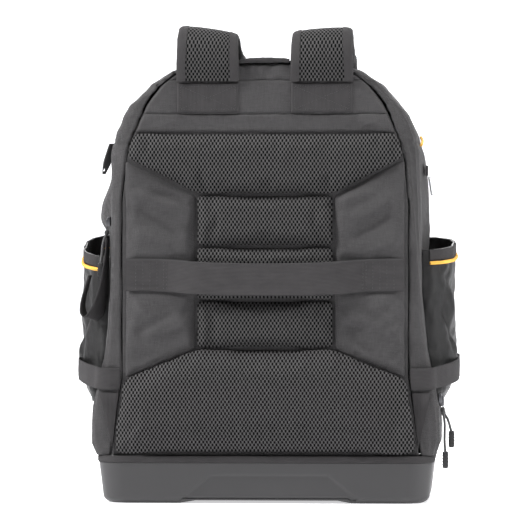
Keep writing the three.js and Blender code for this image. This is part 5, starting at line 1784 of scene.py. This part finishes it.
def rounded_rectangle(share, half_x, half_y, radius):
    """A point at a share of the way round, starting in the middle of the -Y side, and its normal."""
    straight_x, straight_y = 2 * (half_x - radius), 2 * (half_y - radius)
    corner = math.pi / 2 * radius
    walk = (share % 1.0) * (2 * straight_x + 2 * straight_y + 4 * corner) + straight_x / 2
    turn = -math.pi / 2
    at = Vector((-straight_x / 2, -half_y))
    for straight in (straight_x, straight_y, straight_x, straight_y, straight_x):
        heading = Vector((-math.sin(turn), math.cos(turn)))
        if walk <= straight:
            return at + heading * walk, Vector((math.cos(turn), math.sin(turn)))
        at += heading * straight
        walk -= straight
        centre = at - Vector((math.cos(turn), math.sin(turn))) * radius
        if walk <= corner:
            angle = turn + walk / radius
            away = Vector((math.cos(angle), math.sin(angle)))
            return centre + away * radius, away
        turn += math.pi / 2
        at = centre + Vector((math.cos(turn), math.sin(turn))) * radius
        walk -= corner
    raise ValueError(share)


def relief_depth(x, z):
    """Depth of the pressed trapezoid, with softly drafted sides."""
    share = (z - RELIEF_LOW) / (RELIEF_HIGH - RELIEF_LOW)
    half = RELIEF_HALF_LOW + (RELIEF_HALF_HIGH - RELIEF_HALF_LOW) * share
    inside = min(half - abs(x - RELIEF_SHIFT), (RELIEF_HIGH - z))
    return RELIEF_DEPTH * smooth_share(inside, -0.6 * MM, 1.4 * MM)


# The tray's profile: inset from the rim, height, and whether the row lies on the outside
def tray_profile():
    rows = [(TRAY_HALF.y * 0.96, 0.0, 1), (TRAY_HALF.y * 0.6, 0.0, 1), (TRAY_INWARD + TRAY_ROUNDING, 0.0, 1)]
    for k in range(1, 7):
        turn = math.pi / 2 * k / 6
        inset = TRAY_INWARD + TRAY_ROUNDING * (1 - math.sin(turn)) - TRAY_ROUNDING * 0.28 * math.sin(turn)
        rows.append((inset, TRAY_ROUNDING * (1 - math.cos(turn)), 1))
    foot = rows[-1]
    for k in range(1, 33):
        share = k / 32
        rows.append((foot[0] * (1 - share), foot[1] + (TRAY_HIGH.z - foot[1]) * share, 1))
    floor_z = FOOT_RISE + TRAY_WALL
    return rows + [
        (0.5 * MM, TRAY_HIGH.z, 0),
        (TRAY_WALL - 0.5 * MM, TRAY_HIGH.z, 0),
        (TRAY_WALL, TRAY_HIGH.z - 0.5 * MM, 0),
        (TRAY_INWARD + TRAY_WALL, TRAY_ROUNDING + FOOT_RISE, 0),
        (TRAY_INWARD + TRAY_WALL + 5 * MM, floor_z, 0),
        (TRAY_HALF.y * 0.96, floor_z, 0),
    ]


def base_tray():
    rows = tray_profile()
    last = len(rows) - 1

    def place(u, v):
        inset, z, outside = rows[round(v * last)]
        radius = max(1.5 * MM, TRAY_CORNER - inset / 2)
        at, away = rounded_rectangle(u, TRAY_HALF.x - inset, TRAY_HALF.y - inset, radius)
        depth = 0.0
        if outside and away.y < -0.99 and z > 3 * MM:
            depth = relief_depth(at.x, z)
        if outside:
            lift = 1 - smooth_share(abs(at.x), ARCH_HALF - 2 * MM, ARCH_HALF + 3 * MM)
            z += FOOT_RISE * lift * (1 - smooth_share(z, 0, TRAY_ROUNDING))
        return Vector((at.x, at.y + depth + BASE_CENTRE_Y, z))

    bm = laid_grid(place, 640, last)
    bmesh.ops.remove_doubles(bm, verts=bm.verts, dist=0.02 * MM)
    open_edges = [edge for edge in bm.edges if edge.is_boundary]
    bmesh.ops.contextual_create(bm, geom=open_edges)
    return bm


piece("base_tray", recalculated(base_tray()), base_plastic, "moulded_base", "base_tray", crease=HARD_CREASE)

# %% [markdown]
# Tape covers the seam where the cloth is sewn into a flange of the tray. It is drawn along the tray's
# own outline as one closed loop, a millimetre and a half proud, with its edges rounded off.

# %% Base binding
def base_binding():
    low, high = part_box("base_binding")
    middle_z, half_z = (low.z + high.z) / 2, (high.z - low.z) / 2
    front = [(0.2, -1), (1.1, -0.88), (1.5, -0.5), (1.5, 0), (1.5, 0.5), (1.1, 0.88), (0.2, 1)]
    section = [*front, (-1.6, 1), (-1.6, -1)]

    def place(u, v):
        out, up = section[round(v * len(section)) % len(section)]
        at, away = rounded_rectangle(u, TRAY_HALF.x, TRAY_HALF.y, TRAY_CORNER)
        wave = 0.35 * MM * noise.noise(Vector((at.x * 40, at.y * 40, up)))
        grow = out * MM + (wave if out > 0 else 0)
        return Vector((at.x + away.x * grow, at.y + away.y * grow + BASE_CENTRE_Y, middle_z + up * half_z))

    def metres(u, v):
        return v * 20 * MM, u * 1.14

    return laid_grid(place, 520, len(section), metres)


flange_tape = recalculated(base_binding())
piece("base_binding", flange_tape, binding, "binding", "base_binding", crease=math.radians(60))

# %% [markdown]
# A wide loop of webbing hangs beside the left pocket, sewn in at the gusset above and under the pocket's
# piping. It is the path of the loop's near edge, and each of its points has a partner at the far edge,
# so the tape can lie flat against the gusset at the top and open towards the camera at the bottom.

# %% Hanging webbing loop
# Near edge in X and Z, then how far the far edge lies to the right of it and below it, in millimetres
LOOP_ROWS = [
    (-181, 300, 1, 0), (-182, 284, 1.5, 0), (-184.5, 267, 4, -1), (-189, 244, 8, -2), (-194.5, 228, 11, -3),
    (-200.5, 216.5, 13, -4), (-206, 211, 11, -4.5), (-210, 214.5, 6, -2), (-210.5, 222, 3, 0),
    (-208.5, 233, 2, 0), (-204.5, 246, 1.5, 0), (-201, 258, 1, 0),
]
LOOP_NEAR_Y = -97 * MM
LOOP_FAR_Y = -73.5 * MM


def hanging_loop(name):
    near = Route([(x * MM, LOOP_NEAR_Y, z * MM) for x, z, _, _ in LOOP_ROWS])
    far = Route([((x + right) * MM, LOOP_FAR_Y, (z + down) * MM) for x, z, right, down in LOOP_ROWS])
    width = LOOP_FAR_Y - LOOP_NEAR_Y

    def place(u, v):
        return near.at(v).lerp(far.at(v), u)

    bm = laid_grid(place, 12, 110, metres=lambda u, v: (u * width, v * near.length))
    made = piece(name, recalculated(bm), webbing, "webbing")
    print("webbing loop", round(width, 3), "by", round(near.length, 3), "m")
    thickened(made, 1.4 * MM, offset=0.0)


hanging_loop("webbing_loop")

# %% [markdown]
# Sliders and pulls are small, but they are the first thing that a hand meets. A slider is a rounded block
# with a bridge on top; a looped cord runs from its wire puller to a moulded grip with ribs. The blocks are
# cubes with bevelled edges, and the cords are drawn along short routes.

# %% Small rounded blocks
def rounded_block(bm, size, centre, radius, segments=3):
    """A block with rounded edges, of a size in metres, added to a mesh that is being built."""
    place = Matrix.Translation(centre) @ Matrix.Diagonal((*size, 1))
    verts = bmesh.ops.create_cube(bm, size=1, matrix=place)["verts"]
    edges = list({edge for vert in verts for edge in vert.link_edges})
    bevelled(bm, edges, radius, segments)


def cord_between(bm, points, radius, sides=10, steps=40):
    """A round cord drawn through points, added to a mesh that is being built."""
    route = Route(points)
    section = pipe_section(radius, sides)
    made = drawn_along(route, lambda share: section, lambda at: Vector((0.3, -1, 0.2)), steps)
    mesh = bpy.data.meshes.new("cord_part")
    made.to_mesh(mesh)
    made.free()
    bm.from_mesh(mesh)
    bpy.data.meshes.remove(mesh)


PULLS = {"zip_pull_left": -1, "zip_pull_right_inner": 1, "zip_pull_right_outer": 1}
SLIDER = Vector((4.0, 8.0, 11.0)) * MM
GRIP = Vector((6.4, 7.8, 19.0)) * MM
GRIP_RIB = Vector((7.2, 8.5, 1.5)) * MM
RIB_PITCH = 3.6 * MM
PULL_CORD = 3.0 * MM


def zip_pull(name, side):
    low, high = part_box(name)
    y, z = (low.y + high.y) / 2, high.z - SLIDER.z / 2
    hang = z - low.z
    x = min(abs(low.x), abs(high.x)) + SLIDER.x / 2
    lean = max(abs(low.x), abs(high.x)) - GRIP.x / 2 - x
    metal, cloth, grip = bmesh.new(), bmesh.new(), bmesh.new()
    rounded_block(metal, SLIDER, (side * x, y, z), 1.2 * MM)
    rounded_block(metal, Vector((3.2, 3.0, 8.0)) * MM, (side * (x + 2.2 * MM), y, z - 1 * MM), 1 * MM)
    loop = [(side * (x + 3.2 * MM), y + 2.2 * MM * math.cos(a), z - 6 * MM - 4.5 * MM * math.sin(a))
            for a in np.linspace(0, math.pi, 7)]
    cord_between(metal, loop, 0.7 * MM, 8, 20)
    grip_top = z - hang + GRIP.z
    knot_z = z - 13 * MM
    rounded_block(cloth, Vector((5.2, 6.0, 6.4)) * MM, (side * (x + 3 * MM), y, knot_z), 2.2 * MM)
    for strand in (-1, 1):
        points = [
            (side * (x + 3 * MM), y + strand * 1.0 * MM, knot_z),
            (side * (x + 3 * MM + lean * 0.35), y + strand * 2.6 * MM, knot_z * 0.7 + grip_top * 0.3),
            (side * (x + lean * 0.85), y + strand * 2.3 * MM, knot_z * 0.25 + grip_top * 0.75),
            (side * (x + lean), y + strand * 1.2 * MM, grip_top - 2 * MM),
        ]
        cord_between(cloth, points, PULL_CORD / 2, 10, 40)
    centre = Vector((side * (x + lean), y, z - hang + GRIP.z / 2))
    rounded_block(grip, GRIP, centre, 1.6 * MM)
    for k in range(4):
        rounded_block(grip, GRIP_RIB, centre + Vector((0, 0, (k - 1.5) * RIB_PITCH)), 0.5 * MM, segments=2)
    piece(name, recalculated(grip), rubber, "pull_rubber", name)
    piece(f"{name}_slider", recalculated(metal), dark_steel, "ring_steel")
    piece(f"{name}_loop", recalculated(cloth), cord_cloth, "pull_rubber")


# %% [markdown]
# The loops are a braided cord: two families of slanting yarns that cross. The pattern reads the cord's own
# map, across and along, and the raised yarns are painted lighter than the grooves between them, as painted
# shade.

# %% Braided cord
BRAID_PITCH = 1.2 * MM


def braid_finish(name, dark, light):
    finish = Finish(name, roughness=0.7, sheen=0.3)
    across, along, _ = finish.place("UV")
    first, second = [(along + slant * across) * (math.pi / BRAID_PITCH) for slant in (1.4, -1.4)]
    height = abs(first.sine()).highest(abs(second.sine()))
    # Colour follows the braid's height: raised yarns lighter, grooves darker, as painted shade.
    finish.connect("Base Color", finish.mix(height, dark, light))
    finish.bump(height, 0.3 * MM)
    return finish


cord_cloth = braid_finish("braided_cord", linear(14, 14, 15), linear(52, 51, 52))
for name, side in PULLS.items():
    zip_pull(name, side)

# %% [markdown]
# Two more small things hang from the shoulders: on the left a tapered tab that pulls the main zip, with
# a small hole through its tip, and on the right a fold of webbing with a bent steel ring for tools.

# %% Upper pull tab, ring tab and tool ring
def upper_pull_tab():
    low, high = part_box("upper_pull_tab")
    centre = (low + high) / 2
    bm = bmesh.new()
    bmesh.ops.create_grid(bm, x_segments=8, y_segments=20, size=1)
    for vert in bm.verts:
        share = (vert.co.y + 1) / 2
        half = (3.6 + 1.6 * smooth_share(share, 0.0, 0.45)) * MM
        taper = 1 - 0.5 * (1 - share) ** 6
        bow = 0.8 * MM * math.sin(share * math.pi)
        across = vert.co.x * half * taper
        lean = 11 * MM * (1 - share) - 5.5 * MM
        x = centre.x - 3 * MM - bow * 0.4 - lean + across * 0.85
        vert.co = Vector((x, centre.y + across * 0.5, low.z + (high.z + 11 * MM - low.z) * share))
    hole = Vector((centre.x - 8.5 * MM, centre.y, low.z + 5 * MM))
    near = [face for face in bm.faces if (face.calc_center_median() - hole).length < 1.5 * MM]
    bmesh.ops.delete(bm, geom=near, context="FACES")
    bmesh.ops.recalc_face_normals(bm, faces=bm.faces)
    bmesh.ops.solidify(bm, geom=bm.faces[:], thickness=2.4 * MM)
    bmesh.ops.recalc_face_normals(bm, faces=bm.faces)
    return bm


subdivided(piece("upper_pull_tab", upper_pull_tab(), rubber, "pull_rubber", "upper_pull_tab", crease=3.2))


def ring_tab():
    low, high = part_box("ring_tab")
    bm = bmesh.new()
    rounded_block(bm, high - low, (low + high) / 2, 1.1 * MM)
    return mapped(bm, lambda vert: (vert.co.y, vert.co.z))


def tool_ring():
    """A rectangle of bent wire with rounded corners, drawn as one closed loop."""
    low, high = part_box("tool_ring")
    bar = (high.x - low.x) / 2
    centre = (low + high) / 2
    half_y, half_z = (high.y - low.y) / 2 - bar, (high.z - low.z) / 2 - bar

    def place(u, v):
        at, away = rounded_rectangle(u, half_y, half_z, 3 * MM)
        turn = 2 * math.pi * v
        y, z = at + away * (bar * math.cos(turn))
        swing = (3 + 3 * (half_z - at.y) / (2 * half_z)) * MM
        return centre + Vector((swing + bar * math.sin(turn), y, z))

    return laid_grid(place, 96, 12)


piece("ring_tab", recalculated(ring_tab()), webbing, "webbing", "ring_tab")
piece("tool_ring", recalculated(tool_ring()), steel, "ring_steel", "tool_ring", crease=3.2)

# %% [markdown]
# A short length of the same yellow piping runs forwards over the right shoulder. It lies on the body, so
# its route asks the frame how far out the cloth is at each of its points.

# %% Yellow accent
ACCENT_RADIUS = 1.6 * MM
ACCENT_Z = 406 * MM
ACCENT_LENGTH = 60 * MM
ACCENT_RISE = 10 * MM


def accent():
    points = []
    for share in (0, 0.25, 0.5, 0.75, 1):
        z = ACCENT_Z + ACCENT_RISE * share
        y = MAIN_LOW.y + 12 * MM + ACCENT_LENGTH * share
        points.append((beside_body(z, y) + 2 * MM, y, z))
    section = pipe_section(ACCENT_RADIUS)
    return drawn_along(Route(points), lambda share: section, lambda at: Vector((1, 0, 0.1)), 80)


piece("accent_piping", accent(), piping, "yellow_piping", "accent_piping")

# %% [markdown]
# A ladder lock is a flat moulded frame with bars that the webbing is threaded round. A copy of its node
# is merged, its flat faces are dissolved to single ones, and a bevel rounds every edge: the shape was
# right already, and only its edges were too sharp.

# %% Ladder locks
def softened_copy(node, radius):
    bm = bmesh.new()
    bm.from_mesh(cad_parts[node].data)
    bmesh.ops.remove_doubles(bm, verts=bm.verts, dist=0.02 * MM)
    bmesh.ops.dissolve_limit(bm, angle_limit=math.radians(2), verts=bm.verts, edges=bm.edges)
    sharp = [edge for edge in bm.edges if edge.calc_face_angle(0) > math.radians(25)]
    bevelled(bm, sharp, radius, 3, clamped=True)
    bmesh.ops.recalc_face_normals(bm, faces=bm.faces)
    return bm


for word in ("left", "right"):
    node = f"ladder_lock_{word}"
    piece(node, softened_copy(node, 1.0 * MM), rubber, "buckle_plastic", node, crease=HARD_CREASE)

# %% [markdown]
# The flat pocket on the far side is a bellows of body cloth. It is laid over its node ray by ray, as the
# compartments are, with rays from all round its middle instead of from an arch.

# %% Front pocket
def front_pocket():
    tree = surface_of("front_pocket")
    centre = (POCKET_LOW + POCKET_HIGH) / 2
    first, last = POCKET_LOW.y + INSET, POCKET_HIGH.y - INSET
    depth_rows, cap_rows = 12, 34

    def rim(u, y):
        turn = 2 * math.pi * u
        away = Vector((math.cos(turn), 0, math.sin(turn)))
        for nudge in (0, 0.05 * MM, -0.05 * MM, 0.3 * MM):
            start = Vector((centre.x, y, centre.z + nudge)) + away * RAY_START
            hit = tree.ray_cast(start, -away)[0]
            if hit is not None:
                return hit
        raise ValueError(f"no pocket at {u:.3f}")

    def place(u, v):
        along = v * (depth_rows + cap_rows) / depth_rows
        if along <= 1.0001:
            return rim(u, first + (last - first) * min(1.0, along) ** 0.6)
        shrink = 1 - (along - 1) * depth_rows / cap_rows * 0.995
        at = rim(u, last)
        swell = 2.0 * MM * (1 - shrink) ** 0.5
        return Vector((at.x * shrink, last + swell * 0.4, centre.z + (at.z - centre.z) * shrink))

    bm = laid_grid(place, 280, depth_rows + cap_rows)
    crumple(bm, 1.2 * MM, 34 * MM, 103.0)
    return crumple(bm, 0.35 * MM, 10 * MM, 107.0)


cloth_skin("front_pocket", front_pocket(), "front_pocket", 1.6 * MM)

# %% [markdown]
# The dressed bag has to stay in the box of its frame, apart from the little that cloth stands proud.

# %% Sizes and the end
dressed_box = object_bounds()
for corner, dressed in zip(frame_box, dressed_box):
    print([round(a / MM, 1) for a in corner], [round(a / MM, 1) for a in dressed])
